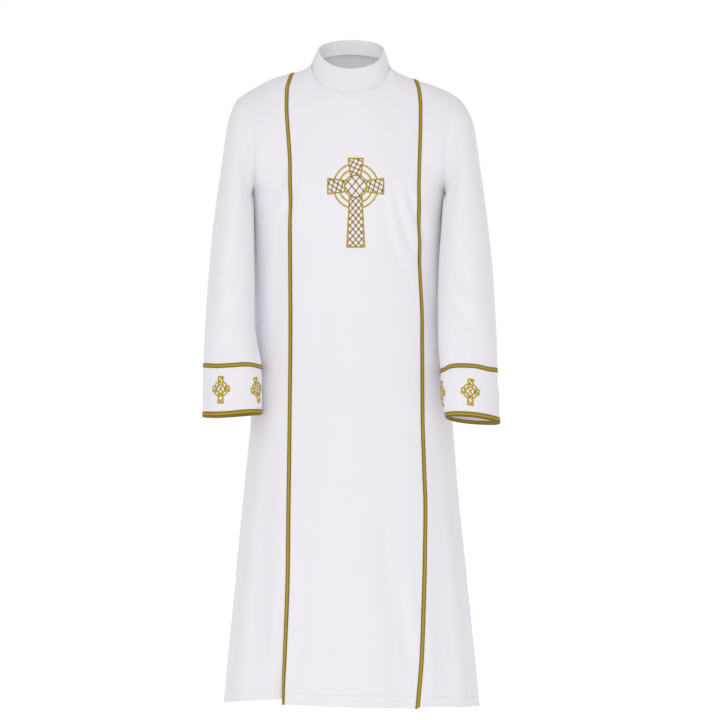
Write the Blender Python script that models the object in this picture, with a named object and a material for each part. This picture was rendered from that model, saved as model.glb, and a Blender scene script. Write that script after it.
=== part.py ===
# Clergy tunic in white cloth with gold ribbon, kept in its worn form with no wearer
# Metres, Z up, the front faces -Y, the wearer's right is -X; height 0 is the base of the neck
import bpy
import math
import numpy as np

# Cloth and seams
CLOTH = 0.0020
RIBBON = 0.0010
SEAM_GAP = 0.0003
LIFT = 0.0003
BAND_HALF = 0.0045
CUFF_RIBBON_HALF = 0.00475
PLACKET_BOTTOM = -0.400

# Steps across and along the pieces
LOWER_ROWS = 16
UPPER_ROWS = 10
NECK_HALF_STEPS = 5
YOKE_STEPS = 2
SIDE_STEPS = 7
COLLAR_STEPS = 3

# Armhole and shoulder tip
UNDERARM_Z = -0.262
TIP_X = 0.225
ARM_DEPTH = 0.074
ARM_DENT = 0.014
NECK_SEAM_Y = -0.0215
CHEST_TURN = 62.0

# Half widths and depths of the body from the armholes down
BODY_COLUMNS = ("height", "right", "left", "front", "back", "square_front", "square_back")
BODY = (
    (-1.340, 0.2700, 0.2700, 0.172, 0.168, 2.0, 2.0),
    (-1.095, 0.2465, 0.2455, 0.158, 0.152, 2.0, 2.0),
    (-0.895, 0.2270, 0.2245, 0.146, 0.138, 2.0, 2.0),
    (-0.740, 0.2120, 0.2125, 0.136, 0.126, 2.0, 2.0),
    (-0.620, 0.2060, 0.2030, 0.128, 0.114, 2.0, 2.1),
    (-0.500, 0.2045, 0.1930, 0.122, 0.106, 2.0, 2.2),
    (-0.380, 0.2045, 0.1890, 0.120, 0.106, 2.0, 2.3),
    (-0.300, 0.2050, 0.1900, 0.121, 0.110, 2.2, 2.4),
    (-0.262, 0.2070, 0.1960, 0.121, 0.112, 2.4, 2.4),
)

# Seam lines under the gold bands, distance from the middle
BAND_COLUMNS = ("height", "right", "left")
BAND = (
    (-1.340, 0.1435, 0.1370),
    (-1.290, 0.1422, 0.1415),
    (-1.230, 0.1390, 0.1458),
    (-1.130, 0.1345, 0.1490),
    (-1.025, 0.1316, 0.1515),
    (-0.925, 0.1305, 0.1525),
    (-0.820, 0.1290, 0.1492),
    (-0.720, 0.1280, 0.1468),
    (-0.530, 0.1262, 0.1465),
    (-0.420, 0.1270, 0.1424),
    (-0.330, 0.1278, 0.1415),
    (-0.260, 0.1273, 0.1405),
    (-0.200, 0.1280, 0.1415),
    (-0.135, 0.1320, 0.1435),
    (-0.080, 0.1352, 0.1440),
    (-0.045, 0.1345, 0.1410),
    (-0.020, 0.1280, 0.1335),
    (0.000, 0.1210, 0.1280),
)

# Shoulder line from the neck out to the sleeve
SHOULDER_COLUMNS = ("out", "right", "left")
SHOULDER = (
    (0.080, 0.0150, 0.0080),
    (0.086, 0.0090, 0.0010),
    (0.100, -0.0010, -0.0080),
    (0.120, -0.0070, -0.0165),
    (0.145, -0.0125, -0.0250),
    (0.170, -0.0205, -0.0325),
    (0.195, -0.0335, -0.0425),
    (0.225, -0.0510, -0.0590),
)

# Stand collar from the neck seam up to the rim
COLLAR_COLUMNS = ("rise", "right", "left", "y_front", "y_back", "z_front", "z_right", "z_left", "z_back")
COLLAR = (
    (0.00, 0.0850, 0.0805, -0.098, 0.055, -0.053, 0.0100, 0.0075, 0.037),
    (0.35, 0.0785, 0.0765, -0.091, 0.051, -0.036, 0.0230, 0.0210, 0.047),
    (1.00, 0.0690, 0.0690, -0.078, 0.043, -0.001, 0.0430, 0.0420, 0.064),
)

# Sleeve sections from the armhole to the cuff edge: the inner and outer ends of each
SLEEVE_COLUMNS = ("inner_x", "inner_z", "outer_x", "outer_z", "middle_y", "half_depth", "lean", "dent")
SLEEVE_RIGHT = (
    (0.2070, -0.262, 0.2250, -0.0510, 0.000, 0.0740, 0.000, 0.0140),
    (0.2082, -0.267, 0.2425, -0.0630, -0.004, 0.0750, 0.000, 0.0115),
    (0.2090, -0.273, 0.2535, -0.0840, -0.009, 0.0755, 0.000, 0.0090),
    (0.2092, -0.281, 0.2612, -0.1130, -0.015, 0.0760, 0.005, 0.0065),
    (0.2088, -0.293, 0.2675, -0.1580, -0.022, 0.0760, 0.010, 0.0040),
    (0.2076, -0.310, 0.2747, -0.2080, -0.030, 0.0750, 0.020, 0.0020),
    (0.2058, -0.337, 0.2840, -0.2750, -0.038, 0.0740, 0.030, 0.0000),
    (0.2045, -0.376, 0.2932, -0.3500, -0.046, 0.0720, 0.040, 0.0000),
    (0.2040, -0.425, 0.2995, -0.4170, -0.053, 0.0700, 0.045, 0.0000),
    (0.2040, -0.476, 0.3040, -0.4740, -0.060, 0.0680, 0.050, 0.0000),
    (0.2025, -0.530, 0.3075, -0.5300, -0.067, 0.0650, 0.050, 0.0000),
    (0.1975, -0.578, 0.3100, -0.5760, -0.073, 0.0620, 0.050, 0.0000),
    (0.1895, -0.624, 0.3118, -0.6210, -0.079, 0.0590, 0.050, 0.0000),
    (0.1890, -0.672, 0.3130, -0.6730, -0.085, 0.0570, 0.050, 0.0000),
    (0.1890, -0.7205, 0.3148, -0.7265, -0.090, 0.0560, 0.050, 0.0000),
)
SLEEVE_LEFT = (
    (0.1960, -0.262, 0.2250, -0.0590, 0.000, 0.0740, 0.000, 0.0140),
    (0.1968, -0.267, 0.2405, -0.0760, -0.006, 0.0740, 0.000, 0.0115),
    (0.1970, -0.273, 0.2495, -0.0940, -0.013, 0.0735, 0.000, 0.0090),
    (0.1965, -0.281, 0.2570, -0.1160, -0.021, 0.0730, 0.005, 0.0065),
    (0.1950, -0.293, 0.2640, -0.1560, -0.030, 0.0725, 0.015, 0.0040),
    (0.1925, -0.310, 0.2708, -0.2050, -0.039, 0.0715, 0.030, 0.0020),
    (0.1885, -0.337, 0.2800, -0.2720, -0.048, 0.0705, 0.050, 0.0000),
    (0.1845, -0.376, 0.2890, -0.3500, -0.057, 0.0690, 0.070, 0.0000),
    (0.1820, -0.425, 0.2958, -0.4170, -0.065, 0.0675, 0.090, 0.0000),
    (0.1808, -0.476, 0.3000, -0.4740, -0.073, 0.0655, 0.105, 0.0000),
    (0.1810, -0.530, 0.3028, -0.5300, -0.081, 0.0630, 0.120, 0.0000),
    (0.1840, -0.581, 0.3050, -0.5820, -0.088, 0.0600, 0.140, 0.0000),
    (0.1885, -0.629, 0.3070, -0.6310, -0.095, 0.0570, 0.150, 0.0000),
    (0.1895, -0.678, 0.3100, -0.6830, -0.102, 0.0560, 0.145, 0.0000),
    (0.1900, -0.7285, 0.3128, -0.7380, -0.109, 0.0550, 0.140, 0.0000),
)
CUFF_SEAM_STEP = 12
CUFF_END_STEP = 14

# Hem heights at the seams
HEM_COLUMNS = ("side", "side_at_band", "centre_at_band", "centre_back")
HEM = {"right": (-1.325, -1.311, -1.319, -1.330), "left": (-1.333, -1.325, -1.328, -1.330)}
HEM_FRONT_MIDDLE = -1.324
HEM_ROW = -1.322

# Soft upright folds of the skirt: angle from the front middle, width, depth at the hem, start height
FOLD_COLUMNS = ("turn", "width", "depth", "top")
FOLDS = (
    (-58.0, 9.0, 0.0080, -0.55),
    (-22.0, 8.0, -0.0035, -0.70),
    (9.0, 9.0, 0.0035, -0.75),
    (24.0, 6.0, -0.0060, -0.62),
    (56.0, 9.0, 0.0075, -0.50),
    (72.0, 6.0, -0.0050, -0.75),
    (110.0, 9.0, 0.0085, -0.45),
    (133.0, 8.0, -0.0080, -0.60),
    (158.0, 8.0, 0.0100, -0.40),
    (-75.0, 6.0, -0.0050, -0.80),
    (-107.0, 8.0, 0.0090, -0.50),
    (-128.0, 8.0, -0.0085, -0.42),
    (-155.0, 9.0, 0.0095, -0.55),
)

# Turned-back edge where the right band meets the hem
TUCK_TOP = -1.150
TUCK_DEPTH = 0.0090
TUCK_SHIFT = 0.0028
TUCK_FADE = 0.080

SIDES = {"right": -1.0, "left": 1.0}


def pick(rows, columns, name):
    return np.array([row[columns.index(name)] for row in rows], dtype=float)


def curve(keys, values, where):
    # smooth run through the rows of a table, with no overshoot
    steps = np.diff(keys)
    slopes = np.diff(values) / steps
    product = slopes[:-1] * slopes[1:]
    total = slopes[:-1] + slopes[1:]
    total = np.where(np.abs(total) < 1e-12, 1.0, total)
    inner = np.where(product > 0.0, 2.0 * product / total, 0.0)
    tangents = np.concatenate([slopes[:1], inner, slopes[-1:]])
    where = np.clip(np.asarray(where, dtype=float), keys[0], keys[-1])
    span = np.clip(np.searchsorted(keys, where, side="right") - 1, 0, len(steps) - 1)
    t = (where - keys[span]) / steps[span]
    start = values[span] * (2 * t ** 3 - 3 * t ** 2 + 1)
    end = values[span + 1] * (3 * t ** 2 - 2 * t ** 3)
    bend = tangents[span] * (t ** 3 - 2 * t ** 2 + t) + tangents[span + 1] * (t ** 3 - t ** 2)
    return start + end + bend * steps[span]


def body(name, height):
    return curve(pick(BODY, BODY_COLUMNS, "height"), pick(BODY, BODY_COLUMNS, name), height)


def band(side, height):
    return curve(pick(BAND, BAND_COLUMNS, "height"), pick(BAND, BAND_COLUMNS, side), height)


def shoulder(side, out):
    return curve(pick(SHOULDER, SHOULDER_COLUMNS, "out"), pick(SHOULDER, SHOULDER_COLUMNS, side), out)


def collar(name, rise):
    return curve(pick(COLLAR, COLLAR_COLUMNS, "rise"), pick(COLLAR, COLLAR_COLUMNS, name), rise)


def ease(value):
    value = np.clip(value, 0.0, 1.0)
    return value * value * (3.0 - 2.0 * value)


def collar_point(turn, rise):
    # turn 0 at the front middle, 90 degrees at the wearer's left, 180 at the back
    turn, rise = np.broadcast_arrays(np.asarray(turn, dtype=float), np.asarray(rise, dtype=float))
    across = np.sin(turn)
    along = np.cos(turn)
    half = np.where(across >= 0.0, collar("left", rise), collar("right", rise))
    y_mid = (collar("y_front", rise) + collar("y_back", rise)) / 2.0
    y_half = (collar("y_back", rise) - collar("y_front", rise)) / 2.0
    z_side = np.where(across >= 0.0, collar("z_left", rise), collar("z_right", rise))
    z_end = np.where(along >= 0.0, collar("z_front", rise), collar("z_back", rise))
    z = z_side + (z_end - z_side) * np.abs(along) ** 1.7
    return np.stack([half * across, y_mid - y_half * along, z], axis=-1)


def skirt_fold(turn, height):
    # outward push of the cloth at an angle round the body, in metres
    push = np.zeros(np.broadcast(turn, height).shape)
    for angle, width, depth, top in FOLDS:
        away = (np.degrees(turn) - angle + 180.0) % 360.0 - 180.0
        grow = ease((top - height) / (top - BODY[0][0])) ** 0.8
        push = push + depth * np.exp(-(away / width) ** 2) * grow
    return push


def ring_point(side, turn, height, half):
    # turn runs from the front middle (or the back middle) to the side seam at 90 degrees
    sign = SIDES[side]
    depth = body("front" if half == "front" else "back", height)
    facing = -1.0 if half == "front" else 1.0
    power = 2.0 / body("square_" + half, height)
    round_turn = sign * (turn if half == "front" else math.pi - turn)
    push = skirt_fold(round_turn, height)
    x = sign * (body(side, height) * np.maximum(np.sin(turn), 0.0) ** power + push * np.sin(turn))
    y = facing * (depth * np.maximum(np.cos(turn), 0.0) ** power + push * np.cos(turn))
    return np.stack([x, y, height + 0.0 * turn], axis=-1)


def band_turn(side, height, extra=0.0):
    # angle of the band line, with a small step along the cloth where asked
    half = body(side, height)
    front = body("front", height)
    square = body("square_front", height)
    turn = np.arcsin((band(side, height) / half) ** (square / 2.0))
    stretch = np.sqrt((half * np.cos(turn)) ** 2 + (front * np.sin(turn)) ** 2)
    return turn + extra / stretch


def side_stations(steps):
    # the seam, the ribbon edge, then even steps to the side
    return [("band", 0.0), ("edge", 0.0)] + [("run", (i + 1) / steps) for i in range(steps)]


def side_turn(side, station, height):
    kind, share = station
    seam = band_turn(side, height)
    edge = band_turn(side, height, BAND_HALF)
    if kind == "band":
        return seam
    return edge + (math.pi / 2.0 - edge) * (share if kind == "run" else 0.0)


def top_out(side, station, panel):
    # how far out a column ends on the shoulder line
    kind, share = station
    seam = float(band(side, -0.0075 if side == "right" else -0.0205))
    neck = float(collar(side, 0.0))
    if panel == "side":
        edge = seam + BAND_HALF
        return seam if kind == "band" else edge + (TIP_X - edge) * (share if kind == "run" else 0.0)
    edge = seam - BAND_HALF
    return seam if kind == "band" else edge + (neck - edge) * (share if kind == "run" else 0.0)


def shoulder_point(side, out):
    neck = float(collar(side, 0.0))
    share = (out - neck) / (TIP_X - neck)
    low = float(shoulder(side, out))
    start = float(collar("z_" + side, 0.0)) - float(shoulder(side, neck))
    z = low + start * max(0.0, 1.0 - share * 6.0)
    return np.array([SIDES[side] * out, NECK_SEAM_Y * (1.0 - share), z])


def upper_run(base, top, share, angles, shift, sway, square):
    # one column from the underarm level up to its end on the shoulder or neck seam
    rise = np.sin(angles) ** 2
    back = 1.0 - np.maximum(1.0 - rise ** square, 0.0) ** (1.0 / square)
    swell = np.maximum(np.sin(2.0 * angles), 0.0)
    lead = np.where(angles < math.pi / 4.0, swell ** (1.0 + 1.6 * (1.0 - share ** 2)), swell)
    z = base[2] + (top[2] - base[2]) * rise
    y = base[1] + (top[1] - base[1]) * back + shift[1] * lead
    pull = rise ** (1.0 + 3.0 * (1.0 - share))
    x = base[0] + sway(z) + pull * (top[0] - base[0] - sway(np.array([top[2]]))[0])
    x = x + shift[0] * swell ** (1.0 + share ** 4)
    return np.stack([x, y, z], axis=-1)


def side_shift(start, own, side, facing, share):
    # spreads the columns evenly from the band line to the armhole half way up the armhole
    if share <= 0.0:
        return (0.0, 0.0)
    sign = SIDES[side]
    edge_x = sign * ((float(body(side, UNDERARM_Z)) + TIP_X) / 2.0 - ARM_DENT)
    edge_y = facing * ARM_DEPTH
    turn = math.radians(CHEST_TURN)
    across = math.sin(share * turn) / math.sin(turn)
    along = (1.0 - math.cos(share * turn)) / (1.0 - math.cos(turn))
    target_x = start[0] + (edge_x - start[0]) * across
    target_y = start[1] + (edge_y - start[1]) * along
    return (target_x - own[0], target_y - own[1])


def tuck(points, seam_x, side_panel):
    # the side panel sits behind the middle one beside the right band at the hem
    grow = ease((TUCK_TOP - points[:, 2]) / (TUCK_TOP - BODY[0][0]))
    away = seam_x - points[:, 0]
    set_back = ease(away / BAND_HALF) * np.clip(1.0 - (away - BAND_HALF) / TUCK_FADE, 0.0, 1.0)
    points[:, 1] += TUCK_DEPTH * grow * set_back * side_panel
    points[:, 0] += TUCK_SHIFT * grow * set_back * side_panel
    return points


def column(base_at, hem, top, share, start, side, facing, sway, square, lower_rows, upper_rows):
    heights = np.linspace(HEM_ROW, UNDERARM_Z, lower_rows + 1)
    heights[0] = hem
    low = base_at(heights)
    angles = np.linspace(0.0, math.pi / 2.0, upper_rows + 1)[1:]
    middle = upper_run(low[-1], top, share, np.array([math.pi / 4.0]), (0.0, 0.0), sway, square)[0]
    shift = side_shift(middle if start is None else start, middle, side, facing, share)
    high = upper_run(low[-1], top, share, angles, shift, sway, square)
    return np.concatenate([low, high], axis=0), middle


def no_sway(height):
    return 0.0 * np.asarray(height)


def front_side(side, side_steps, lower_rows, upper_rows):
    stations = side_stations(side_steps)
    hems = dict(zip(HEM_COLUMNS, HEM[side]))
    sign = SIDES[side]
    start = None
    grid = []
    for index, station in enumerate(stations):
        share = 0.0 if index < 2 else station[1]
        hem = hems["side_at_band"] + (hems["side"] - hems["side_at_band"]) * share
        top = shoulder_point(side, top_out(side, station, "side"))

        def base_at(heights):
            return ring_point(side, side_turn(side, station, heights), heights, "front")

        def sway(height):
            return sign * (1.0 - share) * (band(side, height) - float(band(side, UNDERARM_Z)))

        line, middle = column(base_at, hem, top, share, start, side, -1.0, sway, 2.3, lower_rows, upper_rows)
        start = middle if index < 2 else start
        if side == "right":
            seam_x = -band("right", line[:, 2])
            line = tuck(line, seam_x, 1.0)
        grid.append(line)
    return np.stack(grid, axis=1)


def front_centre(neck_half_steps, yoke_steps, lower_rows, upper_rows):
    right = [("band", 0.0), ("edge", 0.0)] + [("run", (i + 1) / yoke_steps) for i in range(yoke_steps)]
    quarter = neck_turns(neck_half_steps)
    turns = np.concatenate([-quarter[:0:-1], quarter])
    tops = []
    for station in right:
        tops.append(shoulder_point("right", top_out("right", station, "centre")))
    for turn in turns[1:-1]:
        tops.append(collar_point(turn, 0.0))
    for station in right[::-1]:
        tops.append(shoulder_point("left", top_out("left", station, "centre")))
    count = len(tops)
    grid = []
    for index, top in enumerate(tops):
        inner = (index - 1) / (count - 3)
        share = float(np.clip(inner, 0.0, 1.0))
        hem_r = HEM["right"][HEM_COLUMNS.index("centre_at_band")]
        hem_l = HEM["left"][HEM_COLUMNS.index("centre_at_band")]
        hem = hem_r + (hem_l - hem_r) * share
        hem += (HEM_FRONT_MIDDLE - (hem_r + hem_l) / 2.0) * math.sin(math.pi * share)

        def base_at(heights):
            edge_r = -band_turn("right", heights, -BAND_HALF)
            edge_l = band_turn("left", heights, -BAND_HALF)
            turn = edge_r + (edge_l - edge_r) * share
            if index == 0:
                turn = -band_turn("right", heights)
            if index == count - 1:
                turn = band_turn("left", heights)
            r = ring_point("right", -turn, heights, "front")
            l = ring_point("left", turn, heights, "front")
            return np.where((turn < 0.0)[:, None], r, l)

        def sway(height):
            pull_r = -(band("right", height) - float(band("right", UNDERARM_Z)))
            pull_l = band("left", height) - float(band("left", UNDERARM_Z))
            return pull_r * (1.0 - share) + pull_l * share

        middle = 1.0 - abs(2.0 * share - 1.0)
        square = 2.3 - 0.6 * float(ease(middle * 1.6))
        line = column(base_at, hem, top, 0.0, None, "left", -1.0, sway, square, lower_rows, upper_rows)[0]
        grid.append(line)
    return np.stack(grid, axis=1)


def back_half(side, neck_half_steps, yoke_steps, side_steps, lower_rows, upper_rows):
    sign = SIDES[side]
    tops = []
    for turn in (math.pi - neck_turns(neck_half_steps))[:-1]:
        tops.append(collar_point(sign * turn, 0.0))
    yoke = [("run", (i + 1) / yoke_steps) for i in range(yoke_steps)][::-1]
    for station in yoke + [("edge", 0.0), ("band", 0.0)]:
        tops.append(shoulder_point(side, top_out(side, station, "centre")))
    for station in side_stations(side_steps)[1:]:
        tops.append(shoulder_point(side, top_out(side, station, "side")))
    hems = dict(zip(HEM_COLUMNS, HEM[side]))
    count = len(tops)
    start = None
    grid = []
    for index, top in enumerate(tops):
        across = index / (count - 1)
        run = index - (count - 1 - side_steps)
        share = max(0.0, run / side_steps)
        hem = hems["centre_back"] + (hems["side"] - hems["centre_back"]) * float(ease(across))

        def base_at(heights):
            return ring_point(side, across * math.pi / 2.0 + 0.0 * heights, heights, "back")

        line, middle = column(base_at, hem, top, share, start, side, 1.0, no_sway, 2.2, lower_rows, upper_rows)
        start = middle if share <= 0.0 else start
        grid.append(line)
    return np.stack(grid, axis=1)


def sleeve_value(side, name, step):
    rows = SLEEVE_RIGHT if side == "right" else SLEEVE_LEFT
    keys = np.arange(len(rows), dtype=float)
    return curve(keys, pick(rows, SLEEVE_COLUMNS, name), step)


def sleeve_point(side, turn, step):
    # turn 0 at the inner end, 90 degrees at the front, 180 at the outer end
    turn, step = np.broadcast_arrays(np.asarray(turn, dtype=float), np.asarray(step, dtype=float))
    inner_x = sleeve_value(side, "inner_x", step)
    outer_x = sleeve_value(side, "outer_x", step)
    inner_z = sleeve_value(side, "inner_z", step)
    outer_z = sleeve_value(side, "outer_z", step)
    share = (1.0 - np.cos(turn)) / 2.0
    reach = -sleeve_value(side, "half_depth", step) * np.sin(turn)
    x = inner_x + (outer_x - inner_x) * share - sleeve_value(side, "dent", step) * np.sin(turn) ** 2
    y = sleeve_value(side, "middle_y", step) + reach
    z = inner_z + (outer_z - inner_z) * share - sleeve_value(side, "lean", step) * reach
    return np.stack([SIDES[side] * x, y, z], axis=-1)


def sleeve_grid(side, steps, around):
    turns = np.linspace(0.0, 2.0 * math.pi, around + 1)
    return sleeve_point(side, turns[None, :], np.asarray(steps)[:, None])


def neck_turns(half_steps):
    # from the front middle to the side, with a longer last step
    share = np.linspace(0.0, 1.0, half_steps + 1)
    return (share + 0.25 * share ** 4) / 1.25 * math.pi / 2.0


def collar_grid(steps, half_steps):
    # starts and ends at the back middle, where the collar is cut
    quarter = neck_turns(half_steps)
    left = np.concatenate([quarter, math.pi - quarter[:-1][::-1]])
    turns = np.concatenate([-left[:0:-1], left])
    return collar_point(turns[None, :], np.linspace(0.0, 1.0, steps + 1)[:, None])


def face_normals(grid):
    a = grid[1:, 1:] - grid[:-1, :-1]
    b = grid[1:, :-1] - grid[:-1, 1:]
    return np.cross(a, b)


def vertex_normals(grid, closed, flip):
    # area weighted, one per point; a closed grid joins its first and last columns
    faces = face_normals(grid)
    total = np.zeros_like(grid)
    total[:-1, :-1] += faces
    total[1:, :-1] += faces
    total[:-1, 1:] += faces
    total[1:, 1:] += faces
    if closed:
        both = total[:, 0] + total[:, -1]
        total[:, 0] = both
        total[:, -1] = both
    return total * flip


def share_normals(grids):
    # pieces that meet in a seam lean their edges the same way
    shared = {}
    for points, normals in grids:
        for p, n in zip(points.reshape(-1, 3), normals.reshape(-1, 3)):
            key = tuple(np.round(p, 5))
            shared[key] = shared.get(key, np.zeros(3)) + n
    for points, normals in grids:
        flat = normals.reshape(-1, 3)
        for index, p in enumerate(points.reshape(-1, 3)):
            flat[index] = shared[tuple(np.round(p, 5))]


def unit(vectors):
    size = np.linalg.norm(vectors, axis=-1, keepdims=True)
    return vectors / np.maximum(size, 1e-12)


def square_off(edge, inside):
    # direction from an edge into the cloth, square to the edge
    along = np.empty_like(edge)
    along[1:-1] = edge[2:] - edge[:-2]
    along[0] = edge[1] - edge[0]
    along[-1] = edge[-1] - edge[-2]
    along = unit(along)
    into = inside - edge
    into = into - along * np.sum(into * along, axis=-1, keepdims=True)
    return unit(into)


def shrink(grid, rows, columns):
    # draws the chosen edges in by half a seam gap along the cloth
    out = grid.copy()
    step = SEAM_GAP * 0.55
    if rows[0]:
        out[0] += square_off(grid[0], grid[1]) * step
    if rows[1]:
        out[-1] += square_off(grid[-1], grid[-2]) * step
    if columns[0]:
        out[:, 0] += square_off(grid[:, 0], grid[:, 1]) * step
    if columns[1]:
        out[:, -1] += square_off(grid[:, -1], grid[:, -2]) * step
    return out


def add_solid(name, outer, inner, closed, material):
    # a wall between two grids; pieces that share points are split along the same diagonals
    rows, columns = outer.shape[:2]
    if closed:
        outer = outer[:, :-1]
        inner = inner[:, :-1]
        columns -= 1
    count = rows * columns
    points = np.concatenate([outer.reshape(-1, 3), inner.reshape(-1, 3)])
    order = outer.reshape(-1, 3) @ np.array([1.0, 0.37, 0.11])
    spans = columns if closed else columns - 1
    faces = []

    def skin(a, b, d, e):
        first = min((a, b, d, e), key=lambda i: order[i])
        halves = ((a, b, d), (a, d, e)) if first in (a, d) else ((a, b, e), (b, d, e))
        for i, j, k in halves:
            faces.append((i, j, k))
            faces.append((count + k, count + j, count + i))

    def edge(a, b):
        # a to b runs so that the skin lies on its left
        if order[a] < order[b]:
            faces.append((b, a, count + b))
            faces.append((a, count + a, count + b))
        else:
            faces.append((b, a, count + a))
            faces.append((b, count + a, count + b))

    for r in range(rows - 1):
        for c in range(spans):
            n = (c + 1) % columns
            skin(r * columns + c, r * columns + n, (r + 1) * columns + n, (r + 1) * columns + c)
    last = (rows - 1) * columns
    for c in range(spans):
        n = (c + 1) % columns
        edge(c, n)
        edge(last + n, last + c)
    if not closed:
        for r in range(rows - 1):
            edge((r + 1) * columns, r * columns)
            edge((r + 1) * columns - 1, (r + 2) * columns - 1)
    mesh = bpy.data.meshes.new(name)
    mesh.from_pydata([tuple(p) for p in points], [], faces)
    mesh.validate()
    mesh.materials.append(material)
    volume = 0.0
    for face in mesh.polygons:
        corners = [mesh.vertices[i].co for i in face.vertices]
        for i in range(1, len(corners) - 1):
            volume += corners[0].dot(corners[i].cross(corners[i + 1]))
    if volume < 0.0:
        mesh.flip_normals()
    thing = bpy.data.objects.new(name, mesh)
    tunic.objects.link(thing)
    return thing


def paint(name, colour, roughness, metallic=0.0):
    material = bpy.data.materials.new(name)
    material.use_nodes = True
    shader = material.node_tree.nodes["Principled BSDF"]
    shader.inputs["Base Color"].default_value = (*colour, 1.0)
    shader.inputs["Roughness"].default_value = roughness
    shader.inputs["Metallic"].default_value = metallic
    material.diffuse_color = (*colour, 1.0)
    return material


def white(name):
    return paint(name + "_cloth", (0.86, 0.85, 0.88), 0.75)


def gold(name):
    return paint(name + "_ribbon", (0.52, 0.37, 0.08), 0.38)


def wall(name, grid, normals, closed, rows, columns):
    lean = unit(normals)
    outer = shrink(grid, rows, columns)
    inner = shrink(grid - lean * CLOTH, rows, columns)
    return add_solid(name, outer, inner, closed, white(name))


def strip(name, grid, normals, closed, thickness, material):
    lean = unit(normals)
    outer = grid + lean * (LIFT + thickness)
    inner = grid + lean * LIFT
    return add_solid(name, outer, inner, closed, material)


for old in list(bpy.data.objects):
    bpy.data.objects.remove(old, do_unlink=True)
tunic = bpy.data.collections.new("clergy_tunic")
bpy.context.scene.collection.children.link(tunic)

# Grids of the whole garment, one per piece
centre = front_centre(NECK_HALF_STEPS, YOKE_STEPS, LOWER_ROWS, UPPER_ROWS)
fronts = {s: front_side(s, SIDE_STEPS, LOWER_ROWS, UPPER_ROWS) for s in SIDES}
backs = {s: back_half(s, NECK_HALF_STEPS, YOKE_STEPS, SIDE_STEPS, LOWER_ROWS, UPPER_ROWS) for s in SIDES}
around = 2 * UPPER_ROWS
arms = {s: sleeve_grid(s, range(CUFF_END_STEP + 1), around) for s in SIDES}
stand = collar_grid(COLLAR_STEPS, NECK_HALF_STEPS)

centre_n = vertex_normals(centre, False, 1.0)
fronts_n = {"right": vertex_normals(fronts["right"], False, -1.0), "left": vertex_normals(fronts["left"], False, 1.0)}
backs_n = {"right": vertex_normals(backs["right"], False, 1.0), "left": vertex_normals(backs["left"], False, -1.0)}
arms_n = {"right": vertex_normals(arms["right"], True, 1.0), "left": vertex_normals(arms["left"], True, -1.0)}
stand_n = vertex_normals(stand, True, 1.0)

body_grids = [(centre, centre_n)]
body_grids += [(fronts[s], fronts_n[s]) for s in SIDES]
body_grids += [(backs[s], backs_n[s]) for s in SIDES]
share_normals(body_grids)

for near, far in ((fronts_n["right"], centre_n), (fronts_n["left"], centre_n[:, ::-1])):
    near[0, 0] = near[1, 0]
    far[0, 0] = near[1, 0]

# Armhole and neck edges lean half way between the two pieces, save where they fold back on each other
for s in SIDES:
    edge_front = fronts_n[s][LOWER_ROWS:, -1]
    edge_back = backs_n[s][LOWER_ROWS:, -1]
    ring = arms_n[s][0]
    for k in range(UPPER_ROWS + 1):
        for edge, place in ((edge_front, k), (edge_back, (around - k) % around)):
            own = unit(edge[k])
            other = unit(ring[place])
            weight = float(ease(own.dot(other) / 0.6))
            edge[k] = unit(own + other * weight)
            ring[place] = unit(other + own * weight)
    ring[around] = ring[0]

neck_pairs = []
first = YOKE_STEPS + 1
for k in range(2 * NECK_HALF_STEPS + 1):
    neck_pairs.append((centre_n[-1], first + k, NECK_HALF_STEPS + k))
for k in range(NECK_HALF_STEPS + 1):
    neck_pairs.append((backs_n["right"][-1], k, k))
    neck_pairs.append((backs_n["left"][-1], k, 4 * NECK_HALF_STEPS - k))
mixed = {}
for row, place, ring_place in neck_pairs:
    mixed[ring_place] = unit(unit(row[place]) + unit(stand_n[0][ring_place]))
mixed[0] = unit(mixed[0] + mixed[4 * NECK_HALF_STEPS])
mixed[4 * NECK_HALF_STEPS] = mixed[0]
for row, place, ring_place in neck_pairs:
    row[place] = mixed[ring_place]
    stand_n[0][ring_place] = mixed[ring_place]

# Body panels
wall("front_centre", centre, centre_n, False, (False, True), (True, True))
for s in SIDES:
    wall("front_side_" + s, fronts[s], fronts_n[s], False, (False, True), (True, True))
    wall("back_" + s, backs[s], backs_n[s], False, (False, True), (True, True))

# Stand collar, open in one cut at the back
wall("collar", stand, stand_n, False, (True, False), (True, True))

# Sleeves and cuffs
for s in SIDES:
    arm = arms[s].copy()
    arm[0, :, 0] += SIDES[s] * SEAM_GAP
    sleeve = arm[: CUFF_SEAM_STEP + 1]
    wall("sleeve_" + s, sleeve, arms_n[s][: CUFF_SEAM_STEP + 1], True, (False, True), (False, False))
    cuff = arm[CUFF_SEAM_STEP:]
    wall("cuff_" + s, cuff, arms_n[s][CUFF_SEAM_STEP:], True, (True, False), (False, False))

# Gold bands from the shoulder seam to the hem
for s in SIDES:
    seam, inner = (0, 1) if s == "right" else (-1, -2)
    points = [fronts[s][:, 1], centre[:, seam], centre[:, inner]]
    leans = [fronts_n[s][:, 1], centre_n[:, seam], centre_n[:, inner]]
    if s == "left":
        points.reverse()
        leans.reverse()
    strip("band_" + s, np.stack(points, axis=1), np.stack(leans, axis=1), False, RIBBON, gold("band_" + s))


def between(rows, near, far, reach):
    # a line on the wall a set way from one ring towards the next
    length = float(np.mean(np.linalg.norm(rows[far] - rows[near], axis=-1)))
    return near, far, reach / length


def ribbon_line(rows, spot):
    near, far, share = spot
    return rows[near] + (rows[far] - rows[near]) * share


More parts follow.
